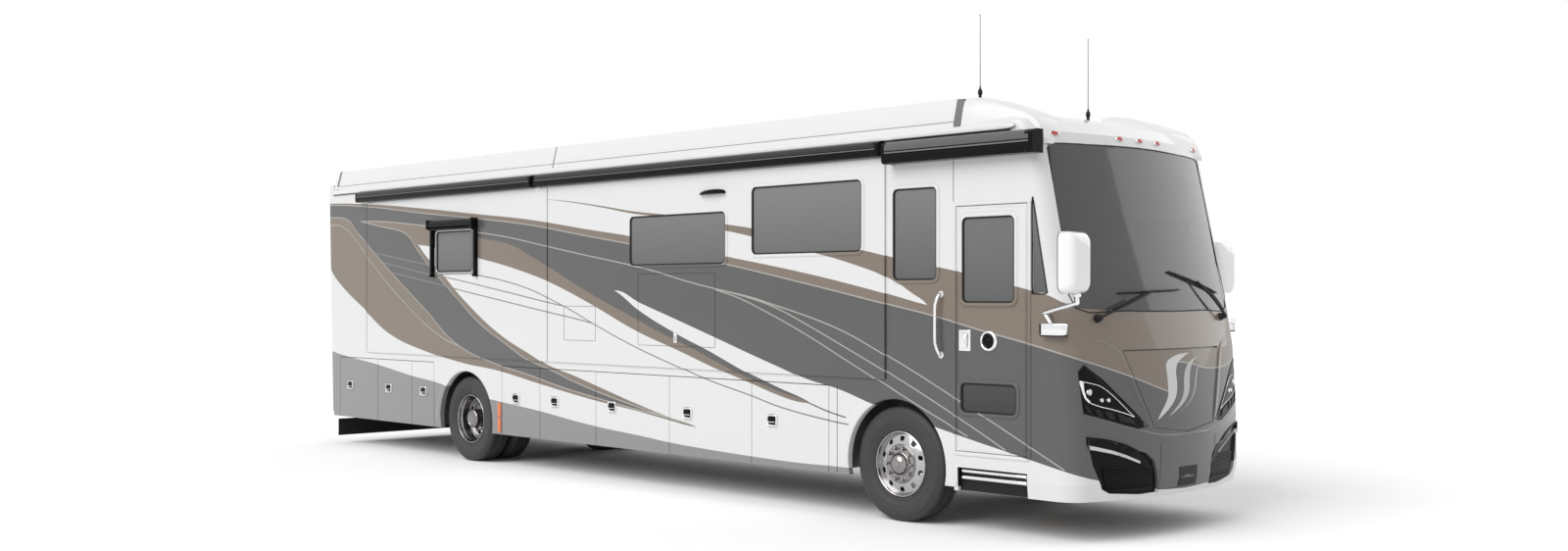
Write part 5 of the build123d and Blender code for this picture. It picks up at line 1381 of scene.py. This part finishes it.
for side in SIDES:
    across = [side * (0.455 + 0.05 * i) for i in range(11)]
    slat = Piece().loft([[(on_nose(y, 0.45)[0].x + 0.004 + out, y, z) for out, z in SLAT] for y in across])
    mesh = repeated(ROW, slat, 9, (0.0, side * 0.005, 0.425), (0.0003, side * 0.004, 0.022))
    place(f"grille_slats_{HAND[side]}", mesh, grille_black, "coach", "grille_black", 40)

# %% [markdown]
# Body lines on the nose: a raised cheek beside the hood, the fine gaps of the bumper
# halves, the ledge along the bumper's top, and a plain bed for the plate.

# %% Nose lines
CREASE = [
    (0.995, 1.64), (0.912, 1.613), (0.84, 1.585), (0.794, 1.56), (0.76, 1.525), (0.728, 1.47), (0.69, 1.39),
    (0.658, 1.322), (0.6, 1.2), (0.549, 1.093), (0.5, 0.992), (0.462, 0.905)]
cheeks = Piece()
for side in SIDES:
    spine = divided(on_side(side, CREASE), 0.04, closed=False)
    rings = []
    for i, (y, z) in enumerate(spine):
        part = i / (len(spine) - 1)
        ahead, behind = spine[min(i + 1, len(spine) - 1)], spine[max(i - 1, 0)]
        along = Vector((ahead[0] - behind[0], ahead[1] - behind[1])).normalized()
        outward = Vector((along.y, -along.x)) * (-side)
        if outward.x * side < 0:
            outward = -outward
        height = 0.012 * sin(pi * min(1.0, part * 2.6) / 2) * (1.0 if part < 0.85 else (1.05 - part) / 0.2)
        width = 0.085 * (0.35 + 0.65 * sin(pi * min(1.0, part * 2.0) / 2))
        ring = []
        for across, lift in ((0.0, -0.004), (0.003, height * 0.6), (0.01, height), (0.024, height * 0.85),
                             (0.55 * width, height * 0.3), (width, -0.0005), (width, -0.004)):
            q = Vector((y, z)) + outward * across
            hit, normal = on_nose(q.x, q.y)
            ring.append(hit + normal * lift)
        rings.append(ring)
    cheeks.loft(rings)
cheeks.done("nose_cheeks", coach_paint, "coach", "body_paint", 60)

LEDGE = [(-1.17, 1.046), (-0.86, 0.958), (-0.64, 0.905), (-0.47, 0.868), (-0.336, 0.846), (-0.131, 0.838),
         (0.131, 0.838), (0.336, 0.846), (0.47, 0.868), (0.64, 0.905), (0.86, 0.958), (1.17, 1.046)]
ledge = Piece()
rings = []
for y, z in divided(LEDGE, 0.05, closed=False):
    fade = max(0.1, 1 - (abs(y) / 1.17) ** 4)
    ring = []
    for down, lift in ((0.004, -0.003), (0.0, 0.004 * fade), (-0.008, 0.01 * fade), (-0.022, 0.01 * fade),
                       (-0.06, 0.003 * fade), (-0.09, -0.001), (-0.09, -0.004)):
        hit, normal = on_nose(y, z + down)
        ring.append(hit + normal * min(lift, 6.2115 - hit.x))
    rings.append(ring)
ledge.loft(rings)
ledge.done("bumper_ledge", coach_paint, "coach", "body_paint", 60)

SEAM_LINES = (
    ([(-0.355, 0.84), (-0.372, 0.62), (-0.392, 0.372)], 0.0028),
    ([(0.531, 0.872), (0.492, 0.62), (0.452, 0.56)], 0.0028),
    ([(-0.392, 0.398), (-0.15, 0.39), (0.15, 0.39), (0.392, 0.395)], 0.0022))
seams = Piece()
for line, radius in SEAM_LINES:
    bead_on_nose(seams, line, radius, -0.0008)
seams.done("bumper_seams", black_rubber, "coach", "rubber_black", 60)
plate_bed = Piece()
skin_piece(plate_bed, [(-0.13, 0.402), (0.15, 0.402), (0.158, 0.565), (-0.12, 0.565)], 0.0035, 0.003, 0.05)
plate_bed.done("plate_bed_front", black_satin, "coach", "black_case", 40)

# %% [markdown]
# The windshield is bonded in, with a black rubber bead round its edge. The wipers rest on
# it: each has a tapered arm on a round pivot and a slim blade that touches the glass.

# %% Windshield bead and wipers
GLASS_EDGE = [
    (-1.15, 1.885), (-0.6, 1.862), (0.0, 1.855), (0.6, 1.862), (1.15, 1.885), (1.152, 2.3), (1.15, 2.8),
    (1.13, 3.18), (1.085, 3.228), (0.6, 3.24), (0.0, 3.248), (-0.6, 3.24), (-1.085, 3.228), (-1.13, 3.18),
    (-1.15, 2.8), (-1.152, 2.3)]
WIPERS = (
    ((5.99, -0.95, 1.8), (6.015, -0.66, 2.004), (6.05, 0.183, 2.034)),
    ((5.99, 0.95, 1.8), (6.02, 0.066, 2.187), (5.99, 0.92, 2.009)))
PIVOT = (
    (0.0, -0.02), (0.034, -0.02), (0.034, 0.012), (0.026, 0.03), (0.024, 0.052), (0.018, 0.06), (0.0, 0.062))
wipers, blades = Piece(), Piece()
for pivot, start, end in WIPERS:
    hit, normal = on_nose(pivot[1], pivot[2])
    wipers.turned(PIVOT, hit, normal, 32)
    knee = hit + normal * 0.05
    middle = (Vector(start) + Vector(end)) / 2
    rest, rest_normal = on_nose(middle.y, middle.z)
    grip = rest + rest_normal * 0.04
    steps = [knee.lerp(grip, t) + normal * 0.02 * sin(pi * t)
             for t in (0, 0.08, 0.2, 0.4, 0.6, 0.8, 0.93, 1.0)]
    wipers.bar(steps, 0.013, 10, 0.7)
    wipers.bar([p + Vector((0, 0, 0.028)) for p in steps[1:5]], 0.006, 8)
    places = [Vector(start).lerp(Vector(end), i / 24) for i in range(25)]
    line = [on_nose(p.y, p.z) for p in places]
    wipers.bar([hit + normal * (0.022 + 0.01 * sin(pi * i / 24)) for i, (hit, normal) in enumerate(line)],
               0.006, 8)
    blades.bar([hit + normal * 0.01 for hit, normal in line], 0.0095, 8, 0.6)
    for i in (3, 8, 12, 16, 21):
        hit, normal = line[i]
        wipers.bar([hit + normal * 0.006, hit + normal * (0.024 + 0.01 * sin(pi * i / 24))], 0.009, 8)
wipers = wipers.done("wiper_arms", black_satin, "coach", "wiper_black", 40)
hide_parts("wipers")
blades.done("wiper_blades", black_rubber, "coach", "rubber_black", 50)
bead = Piece()
bead_on_nose(bead, eased(GLASS_EDGE, 3), 0.006, -0.001, closed=True, step=0.2)
bead.done("windshield_bead", black_rubber, "coach", "rubber_black", 60)

# %% [markdown]
# Marker lamps are law on anything this wide: five small red-orange lenses in oval chrome
# bezels along the brow. All are the same lamp, set square to the surface under it.

# %% Marker lamps
MARKER_BEZEL = ((1.0, -0.004), (1.0, 0.006), (0.93, 0.013), (0.8, 0.015), (0.72, 0.01), (0.7, 0.002))
MARKER_LENS = ((0.72, 0.0), (0.72, 0.01), (0.66, 0.018), (0.48, 0.022), (0.25, 0.023))
bezels, lenses = Piece(), Piece()
for y in (0.0, -0.288, 0.288, -1.056, 1.056):
    hit, normal = on_nose(y, 3.31)
    across = Vector((0, 0, 1)).cross(normal).normalized()
    up = normal.cross(across)
    for piece, levels in ((bezels, MARKER_BEZEL), (lenses, MARKER_LENS)):
        piece.loft([[hit + across * 0.052 * scale * cos(turn) + up * 0.024 * scale * sin(turn) + normal * lift
                     for turn in turns(32)] for scale, lift in levels])
bezels.done("marker_bezels", chrome, "coach", "chrome_trim", 40)
lenses = lenses.done("marker_lenses", red_lens, "coach", "lamp_red", 40)
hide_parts("signal_lamps")

# %% [markdown]
# Coach mirrors hang out ahead of the cab on a bent chrome arm. The head is a gloss white
# shell, soft at every corner, with a dark frame at the back that holds a flat glass and a
# small convex one. It is lofted from rounded rectangles that shrink towards the front.

# %% Mirrors, as (side, glass x, nose x)
mirror_white = finish("mirror_white", 0.93, 0.12, coat=0.8, uneven=0.04)
mirror_glass = finish("mirror_glass", (0.75, 0.77, 0.78), 0.02, metallic=1, uneven=0.01)
HEADS = ((RIGHT, 6.044, 6.196), (LEFT, 5.62, 5.772))
heads, shells, frames, glasses = Piece(), Piece(), Piece(), Piece()
for side, x0, x1 in HEADS:
    middle = (x0 + x1) / 2
    levels = ((0, 0.004), (0.01, 0), (0.06, 0.001), (0.098, 0.007), (0.122, 0.018), (0.138, 0.034),
              (0.148, 0.056), (0.152, 0.085))
    heads.loft([[(x0 + depth, side * y, z) for y, z, _, _ in
                 rounded(1.32 + inset, 1.5995 - inset, 2.0 + inset * 1.2, 2.485 - inset * 1.2,
                         0.062 - inset * 0.2, 8)] for depth, inset in levels])
    ring_back = []
    for y, z, out_y, out_z in rounded(1.32, 1.6, 2.0, 2.485, 0.062, 6):
        ring_back.append([(x0 + d, side * (y - out_y * i), z - out_z * i)
                          for d, i in ((0.012, 0.001), (0.0, 0.002), (0.0, 0.018), (0.008, 0.02))])
    frames.loft(ring_back, closed=True)
    frames.block((x0 + 0.002, min(side * 1.335, side * 1.585), 2.145),
                 (x0 + 0.008, max(side * 1.335, side * 1.585), 2.157), 0.002)
    for z0, z1 in ((2.162, 2.462), (2.024, 2.14)):
        glass_ring = [[(x0 + d, side * y, z) for y, z, _, _ in rounded(1.342, 1.578, z0, z1, 0.03, 5)]
                      for d in (0.003, 0.01)]
        glasses.loft(glass_ring)
    path = [(5.79, side * 1.318, 1.742), (5.775, side * 1.32, 1.775), (5.745, side * 1.32, 1.815),
            (5.732, side * 1.322, 1.838), (5.74, side * 1.33, 1.85),
            (middle - (0.05 if side < 0 else 0.01), side * 1.425, 1.915), (middle, side * 1.44, 1.928),
            (middle, side * 1.44, 1.95), (middle, side * 1.44, 2.006)]
    shells.bar(eased(path, 3, False), 0.0165, 16)
    shells.turned(((0.0, 0.0), (0.03, 0.0), (0.03, 0.02), (0.024, 0.03), (0.0, 0.03)),
                  (middle, side * 1.44, 1.975), (0, 0, 1), 32)
    low, high = min(side * 1.225, side * 1.345), max(side * 1.225, side * 1.345)
    shells.block((5.69, low, 1.664), (5.89, high, 1.768), 0.014, 3)
    frames.block((5.688, low - 0.001, 1.66), (5.892, high + 0.001, 1.668), 0.003)
    frames.block((5.684, low - 0.0015, 1.674), (5.708, high + 0.0015, 1.76), 0.006)
shells = shells.done("mirror_shells", chrome, "coach", "chrome_trim", 50)
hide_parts("mirrors")
heads.done("mirror_heads", mirror_white, "coach", "body_paint", 50)
frames.done("mirror_frames", black_satin, "coach", "black_case", 40)
glasses.done("mirror_glasses", mirror_glass, "coach", "glass_dark", 40)

# %% [markdown]
# On the roof three air conditioners sit under moulded shrouds with louvres at the back,
# and two whip antennas stand on round feet. The shroud is a loft of rounded rectangles,
# wide at the foot and drawn in at the top, and longer ahead than behind.

# %% Roof units
SHROUD = (
    (3.498, 0, 0, 0.33, 0.09), (3.53, 0.004, 0.002, 0.329, 0.09), (3.6, 0.05, 0.012, 0.322, 0.09),
    (3.67, 0.12, 0.03, 0.306, 0.1), (3.715, 0.19, 0.06, 0.28, 0.11), (3.738, 0.25, 0.1, 0.24, 0.11),
    (3.745, 0.31, 0.15, 0.19, 0.1))
shrouds, louvres = Piece(), []
for x in (-4.2, -0.8, 2.6):
    shrouds.loft([[(px, py, z) for px, py, _, _ in rounded(x + back, x + 0.9 - front, -wide, wide, corner, 6)]
                  for z, front, back, wide, corner in SHROUD])
    blade = Piece().block((-0.012, -0.215, -0.006), (0.01, 0.215, 0.004), 0.002, 1)
    louvres.append(repeated(ROW, blade, 6, (x + 0.006, 0.0, 3.545), (0.0022, 0, 0.022)))
FOOT = ((0.045, -0.005), (0.034, 0.01), (0.016, 0.016), (0.013, 0.06), (0.02, 0.07), (0.02, 0.1),
        (0.011, 0.112), (0.006, 0.13), (0.0032, 0.15))
TIP = ((0.0022, -0.012), (0.0042, -0.008), (0.0042, -0.002), (0.0, 0.0))
antennas = Piece()
for x, y, low, foot, top in ((4.73, -0.9, 3.44, 3.66, 4.42), (5.22, 0.0, 3.47, 3.5, 4.25)):
    antennas.turned([(0.0, low), (0.045, low)] + [(r, foot + h) for r, h in FOOT]
                    + [(r, top + h) for r, h in TIP], (x, y, 0), (0, 0, 1), 20)
antennas.done("antennas", black_satin, "coach", "black_case", 40)
shrouds = shrouds.done("air_conditioner_shrouds", gel_coat, "coach", "roof_shell", 50)
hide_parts("roof_equipment")
welded("shroud_louvres", louvres, black_satin, "coach", "black_case", 30)

# %% [markdown]
# Moulded fairings hide the roof equipment from the side. They stand along both edges of
# the roof in two lengths, and a smooth hump ends each row over the cab, where it sinks
# into the front cap. Hump sections are cut at points along an eased top line.

# %% Roof fairings
FAIRING = (
    (-0.0075, 3.38), (-0.0085, 3.455), (-0.013, 3.46), (-0.014, 3.468), (-0.0585, 3.642), (-0.064, 3.655),
    (-0.072, 3.66), (-0.0905, 3.66), (-0.0445, 3.48), (-0.0395, 3.38))
HUMP = ((4.812, 3.662), (4.932, 3.659), (5.094, 3.62), (5.254, 3.567), (5.411, 3.508), (5.51, 3.462),
        (5.57, 3.405), (5.61, 3.33), (5.63, 3.26))
fairings = Piece()
for side in SIDES:
    for x0, x1 in ((-6.1, -1.06), (-1.04, 4.74)):
        run_along_x(fairings, side, HALF, x0, x1, FAIRING)
    rings = []
    for x, top, _ in eased([(x, top, 0) for x, top in HUMP], 3, False):
        foot = 3.385 - 0.95 * max(0.0, x - 5.46)        # the foot follows the cap down
        tall, outer = top - foot, 1.267 - 0.06 * (x - 4.812) / 0.828
        lean = tall / 0.275
        rings.append([(x, side * y, foot + tall * up) for y, up in
                      ((outer, 0), (outer - 0.01 * lean, 0.3), (outer - 0.03 * lean, 0.62),
                       (outer - 0.05 * lean, 0.86), (outer - 0.07 * lean, 0.95),
                       (outer - 0.11 * lean, 1.0), (1.02, 1.02), (0.88, 1.0), (0.81, 0.92), (0.765, 0.6),
                       (0.75, 0))])
    fairings.loft(rings)
fairings = fairings.done("fairing_shells", gel_coat, "coach", "roof_shell", 50)
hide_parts("roof_fairings")

# %% [markdown]
# A drip rail caps each long wall under the fairing and runs out to a rounded tip on the
# cab. Grey gaps part the fairings from each other and from the humps, a grey band
# crosses them at the rear, and a fine crease runs along their foot.

# %% Drip rails and gaps
rails, rail_seal, gaps = Piece(), Piece(), Piece()
RAIL = ((-0.02, 3.35), (0.018, 3.35), (0.026, 3.356), (0.028, 3.37), (0.022, 3.394), (0.008, 3.41),
        (-0.02, 3.416))
RAIL_SEAL = ((-0.01, 3.34), (0.012, 3.34), (0.014, 3.351), (-0.01, 3.351))
SLOT = ((-0.0125, 3.385), (-0.0195, 3.475), (-0.065, 3.654), (-0.12, 3.654), (-0.1, 3.385))
BAND = ((-0.005, 3.385), (-0.0115, 3.47), (-0.057, 3.648), (-0.064, 3.663), (-0.08, 3.663), (-0.03, 3.44))
FOLD = ((-0.0125, 3.456), (-0.0075, 3.4565), (-0.0095, 3.462), (-0.014, 3.4625))
GAPS = ((4.741, 4.811, SLOT), (-1.059, -1.041, SLOT), (-6.03, -5.99, BAND), (-5.988, -1.062, FOLD),
        (-1.038, 4.738, FOLD))
for side in SIDES:
    rails.loft([[(x, side * (HALF + out * (0.4 + 0.6 * k)), 3.38 + (z - 3.38) * k) for out, z in RAIL]
                for x, k in ((-6.095, 1), (5.24, 1), (5.34, 0.92), (5.382, 0.66), (5.398, 0.25))])
    run_along_x(rail_seal, side, HALF, -6.095, 5.35, RAIL_SEAL)
    for x0, x1, shape in GAPS:
        run_along_x(gaps, side, HALF, x0, x1, shape)
rails.done("roof_rails", gel_coat, "coach", "roof_shell", 40)
rail_seal.done("roof_rail_seals", black_rubber, "coach", "rubber_black", 40)
gaps.done("fairing_gaps", sealant_and_highlight_grey, "coach", "black_case", 40)

# %% [markdown]
# The back of the coach leans a little outwards as it rises, so what lies on it is placed
# through one small function. The two tall lamp clusters come first: two red lenses in
# each, held by a chrome rim.

# %% Tail lamps
REAR_SLOPE = -0.09 / 2.8


def rear_x(z):
    """The rear face leans: its place at a height."""
    return -6.16 + REAR_SLOPE * (z - 0.43)


TAIL_LENS = (
    (-6.17, 0.0), (-6.228, 0.0), (-6.238, 0.006), (-6.242, 0.018), (-6.238, 0.024), (-6.244, 0.028))
TAIL_RIM = ((-6.17, 0.0), (-6.226, 0.0), (-6.236, 0.003), (-6.238, 0.007), (-6.232, 0.01), (-6.17, 0.012))
lamp_rims, lamp_lens = Piece(), Piece()
for side in SIDES:
    for z0, z1 in ((0.905, 1.065), (1.08, 1.235)):
        y0, y1 = sorted((side * 1.028, side * 1.112))
        lamp_lens.loft([[(x, y, z) for y, z, _, _ in
                         rounded(y0 + i, y1 - i, z0 + i, z1 - i, 0.026 - i * 0.5, 5)] for x, i in TAIL_LENS])
    y0, y1 = sorted((side * 1.02, side * 1.12))
    lamp_rims.loft([[(x, y - oy * i, z - oz * i) for x, i in TAIL_RIM]
                    for y, z, oy, oz in rounded(y0, y1, 0.9, 1.24, 0.03, 6)], closed=True)
lamp_rims.done("tail_lamp_rims", chrome, "coach", "chrome_trim", 40)
lamp_lens.done("tail_lamp_lenses", red_lens, "coach", "lamp_red", 40)

# %% [markdown]
# The engine lid breathes through a stack of pressed slats. It carries a blank bed for the
# plate and a pull bent from a rod, and all of it lifts with the lid.

# %% Engine lid fittings
LID_SLAT = ((0.004, -0.016), (-0.01, -0.018), (-0.015, -0.012), (-0.004, 0.008), (0.004, 0.01))
slat = Piece().loft([[(out, y, z) for out, z in LID_SLAT] for y in (-0.46, 0.46)])
mesh = repeated(ROW, slat, 11, (rear_x(1.06), 0, 1.06), (REAR_SLOPE * 0.036, 0, 0.036))
place("engine_lid_louvres", mesh, coach_paint, "rear_lid", "body_paint", 30)
rear_trim = Piece()
z0, z1 = 0.735, 0.905
rings = [[(rear_x(z) + d, y, z) for y, z, _, _ in rounded(-0.16 + i, 0.16 - i, z0 + i, z1 - i, 0.012, 3)]
         for d, i in ((0.004, 0.0), (-0.004, 0.0), (-0.006, 0.003), (-0.006, 0.012), (-0.002, 0.014))]
rear_trim.loft(rings)
rear_trim.done("plate_bed_rear", black_satin, "rear_lid", "black_case", 40)
PULL_Z = 0.69
lid_pull = Piece()
lid_pull.bar([(rear_x(PULL_Z) - out, y, PULL_Z) for out, y in
              ((-0.004, -0.07), (0.022, -0.062), (0.028, -0.045), (0.028, 0.045), (0.022, 0.062),
               (-0.004, 0.07))], 0.009)
lid_pull.done("engine_lid_pull", chrome, "rear_lid", "chrome_trim", 40)

# %% [markdown]
# High up on the rear cap sit the third brake lamp and a row of clearance lamps, all low
# red blocks. Three thin seams show where the cap's centre panel is let in.

# %% High rear lamps and cap seams
brake = Piece()
brake.block((rear_x(3.16) - 0.012, -0.2, 3.135), (rear_x(3.16) + 0.01, 0.2, 3.175), 0.006, 3)
for y in (-1.02, -0.26, 0.0, 0.26, 1.02):
    brake.block((rear_x(3.33) - 0.01, y - 0.045, 3.32), (rear_x(3.33) + 0.01, y + 0.045, 3.345), 0.006, 3)
brake.done("high_brake_lamp", red_lens, "coach", "lamp_red", 40)
rear_seams = Piece()
for y in (-0.86, 0.86):
    rear_seams.bar([(rear_x(z) + 0.0005, y, z) for z in (0.48, 1.4, 2.4, 3.1)], 0.003, 6)
rear_seams.bar([(rear_x(3.1) + 0.0005, y, 3.1) for y in (-0.86, 0.0, 0.86)], 0.003, 6)
rear_seams.done("rear_cap_seams", black_rubber, "coach", "rubber_black", 40)

# %% [markdown]
# The left flank carries the radiator louvres behind the rear wheel: long pressed blades
# in a frame, tipped so that rain runs off.

# %% Side radiator louvres
LOUVRE = ((-0.004, -0.02), (0.01, -0.022), (0.014, -0.017), (0.004, 0.01), (-0.004, 0.012))
blade = Piece().loft([[(x, out, z) for out, z in LOUVRE] for x in (-5.8, -3.66)])
mesh = repeated(ROW, blade, 15, (0, HALF, 0.475), (0, 0, 0.042))
place("radiator_louvres", mesh, coach_paint, "coach", "body_paint", 30)
frame_ring = Piece()
window_ring(frame_ring, (-5.82, -3.64, 0.43, 1.11), LEFT, HALF, BEAD, 0.02)
frame_ring.done("radiator_frame", coach_paint, "coach", "body_paint", 50)

# %% [markdown]
# The cab chairs are leather over foam. A cushion is blown up as cloth from a slightly
# smaller block, so its faces crown and its sides pull in between the corners. Seams are
# piped afterwards along the edges, because remeshing would lose anything that fine.

# %% Seats
def leather_finish(name, colour):
    """Leather: fine cells for grain, slow clouds for wear, and a soft sheen."""
    mat = finish(name, colour, 0.5, uneven=0.16, uneven_size=9, Sheen_Weight=0.15)
    tree, add, shader, where = nodes_of(mat)
    cells, cloud = add("TexVoronoi", Scale=260), add("TexNoise", Scale=7)
    cells.feature = "DISTANCE_TO_EDGE"
    bump = add("Bump", Strength=0.35, Distance=0.0012)
    for node in (cells, cloud):
        tree.links.new(where.outputs["Object"], node.inputs["Vector"])
    tree.links.new(cells.outputs["Distance"], bump.inputs["Height"])
    tree.links.new(bump.outputs[0], shader.inputs["Normal"])
    worn = tuple(c * 0.72 for c in colour)
    tree.links.new(blended(tree, cloud.outputs[0], colour, worn), shader.inputs["Base Color"])
    return mat


leather = leather_finish("seat_leather", (0.3, 0.25, 0.2))
piping_mat = leather_finish("seat_piping", (0.2, 0.16, 0.12))


def cushion(name, levels, cap):
    """Blows up a block whose outline changes over its height, and crowns it."""
    shape = Piece()
    shape.loft([[(x, y, z) for x, y, _, _ in rounded(*box, corner, 6)] for z, box, corner in levels])
    pad = shown(name, shape.mesh(name))
    remesh = pad.modifiers.new("remesh", "REMESH")
    remesh.mode, remesh.voxel_size = "VOXEL", 0.016
    pad.data = settled(pad)
    cloth = pad.modifiers.new("cloth", "CLOTH")
    cloth.settings.use_pressure = True
    cloth.settings.uniform_pressure_force = 4
    cloth.settings.effector_weights.gravity = 0
    before = [v.co.copy() for v in pad.data.vertices]
    for step in range(1, 21):
        bpy.context.scene.frame_set(step)
    blown = bpy.data.meshes.new_from_object(pad.evaluated_get(bpy.context.evaluated_depsgraph_get()))
    bpy.context.scene.frame_set(1)
    pad.modifiers.clear()
    for v, start in zip(blown.vertices, before):
        move = v.co - start
        if move.length > cap:
            v.co = start + move.normalized() * cap
    pad.data = blown
    result = Piece()
    result.bm.from_mesh(pad.data)
    bmesh.ops.smooth_vert(result.bm, verts=result.bm.verts, factor=0.5, use_axis_x=True, use_axis_y=True,
                          use_axis_z=True)
    bpy.data.objects.remove(pad)
    obj = place(name, result.mesh(name), leather, "coach", "seat_leather", 80)
    return obj


def piping(name, path):
    """A bead of leather sewn into a seam."""
    cord = Piece()
    cord.bar(path, 0.006, 8)
    cord.done(name, piping_mat, "coach", "seat_leather", 80)


SEATS = (("driver", 4.65, 0.7), ("passenger", 4.39, -0.18))
# Each pad is its name, the most it swells, and levels of (z, rear x, front x, half width, corner).
PADS = (("cushion", 0.012, ((1.515, -0.25, 0.25, 0.245, 0.06), (1.56, -0.258, 0.258, 0.252, 0.07),
                            (1.64, -0.256, 0.256, 0.248, 0.08), (1.668, -0.225, 0.235, 0.22, 0.09))),
        ("back", 0.01, ((1.655, -0.305, -0.21, 0.205, 0.035), (1.76, -0.31, -0.205, 0.235, 0.045),
                        (2.0, -0.312, -0.212, 0.238, 0.045), (2.11, -0.31, -0.218, 0.205, 0.04),
                        (2.15, -0.302, -0.23, 0.165, 0.032))),
        ("headrest", 0.008, ((2.15, -0.3, -0.222, 0.115, 0.035), (2.2, -0.308, -0.212, 0.135, 0.042),
                             (2.3, -0.306, -0.216, 0.13, 0.04), (2.338, -0.292, -0.232, 0.1, 0.028))))
stands, chairs = Piece(), []
for who, x, y in SEATS:
    for pad, cap, levels in PADS:
        chairs.append(cushion(f"seat_{pad}_{who}", [(z, (x + rear, x + front, y - wide, y + wide), corner)
                                                    for z, rear, front, wide, corner in levels], cap))
    stands.block((x - 0.13, y - 0.13, 1.222), (x + 0.13, y + 0.13, 1.505), 0.02, 3)
    stands.block((x - 0.2, y - 0.2, 1.49), (x + 0.2, y + 0.2, 1.52), 0.008)
    for dy in (-0.235, 0.235):
        stands.bar([(x + dx, y + dy * k, z) for dx, k, z in
                    ((-0.255, 1, 1.79), (-0.2, 1.02, 1.8), (-0.05, 1.02, 1.8), (0.08, 1.02, 1.795),
                     (0.11, 1.02, 1.78))], 0.022, 14)
    path = [(x + 0.255 * cx, y + 0.248 * cy, 1.6) for cx, cy, _, _ in rounded(-1, 1, -1, 1, 0.28, 5)]
    piping(f"seat_seam_{who}", path + path[:1])
stands = stands.done("seat_stands", black_satin, "coach", "frame_steel", 40)
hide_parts("cab_seats")

# %% [markdown]
# The dashboard is a padded vinyl shelf with a hooded binnacle. The steering wheel is a
# soft rim on three spokes, which are bars of flat section.

# %% Dashboard and steering wheel
dash = Piece()
inner_y = HALF - 0.08
profile = (
    (5.615, 1.222), (5.615, 1.776), (5.56, 1.78), (5.43, 1.774), (5.33, 1.758), (5.268, 1.722),
    (5.252, 1.66), (5.268, 1.56), (5.33, 1.42), (5.36, 1.222))
dash.loft([[(x, y, z) for x, z in profile] for y in (-0.5, inner_y)])
shelf = ((5.564, 1.222), (5.615, 1.222), (5.615, 1.778), (5.59, 1.78), (5.57, 1.77), (5.564, 1.74))
dash.loft([[(x, y, z) for x, z in shelf] for y in (-inner_y, -0.5)])
hoodlet = [[(5.262 + 0.16 * t, 0.65 + 0.26 * cos(a) * (1 - 0.15 * t), 1.735 + 0.075 * sin(a) * (1 - 0.6 * t))
            for a in turns(24)] for t in (0, 0.3, 0.7, 1.0)]
dash.loft(hoodlet)
dash = dash.done("dash_shelf", dash_vinyl, "coach", "dash_vinyl", 40)
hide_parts("dashboard")
steer = Piece()
centre, axis = Vector((5.14, 0.65, 1.85)), Vector((-0.2, 0, 0.14)).normalized()
across = Vector((0, 1, 0))
up = axis.cross(across)
rings = []
for turn in turns(48):
    out = across * cos(turn) + up * sin(turn)
    rings.append([centre + out * (0.213 + 0.016 * cos(t)) + axis * 0.014 * sin(t) for t in turns(10)])
steer.loft(rings, closed=True)
steer.turned(((0.0, -0.015), (0.062, -0.015), (0.07, 0.0), (0.06, 0.014), (0.0, 0.02)), centre, axis, 40)
for turn in (90, 210, 330):
    out = across * cos(radians(turn)) + up * sin(radians(turn))
    steer.bar([centre + out * r for r in (0.05, 0.1, 0.16, 0.206)], 0.014, 10, 0.45)
steer.bar([centre - axis * 0.01, centre - axis * 0.1, Vector((5.3, 0.65, 1.738))], 0.034, 20)
steer.done("steering_wheel", dash_vinyl, "coach", "dash_vinyl", 50)

# %% [markdown]
# The last cell notes the size of the bare solids and of the dressed coach, side by side:
# the trim has to stay inside the size that the solids promise.

# %% Size and end
seen_box = [list(corner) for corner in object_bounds()]
({"cad": [list(map(float, c)) for c in cad_box],
           "scene": [list(map(float, c)) for c in seen_box]})
print("cad", cad_box, "scene", seen_box)
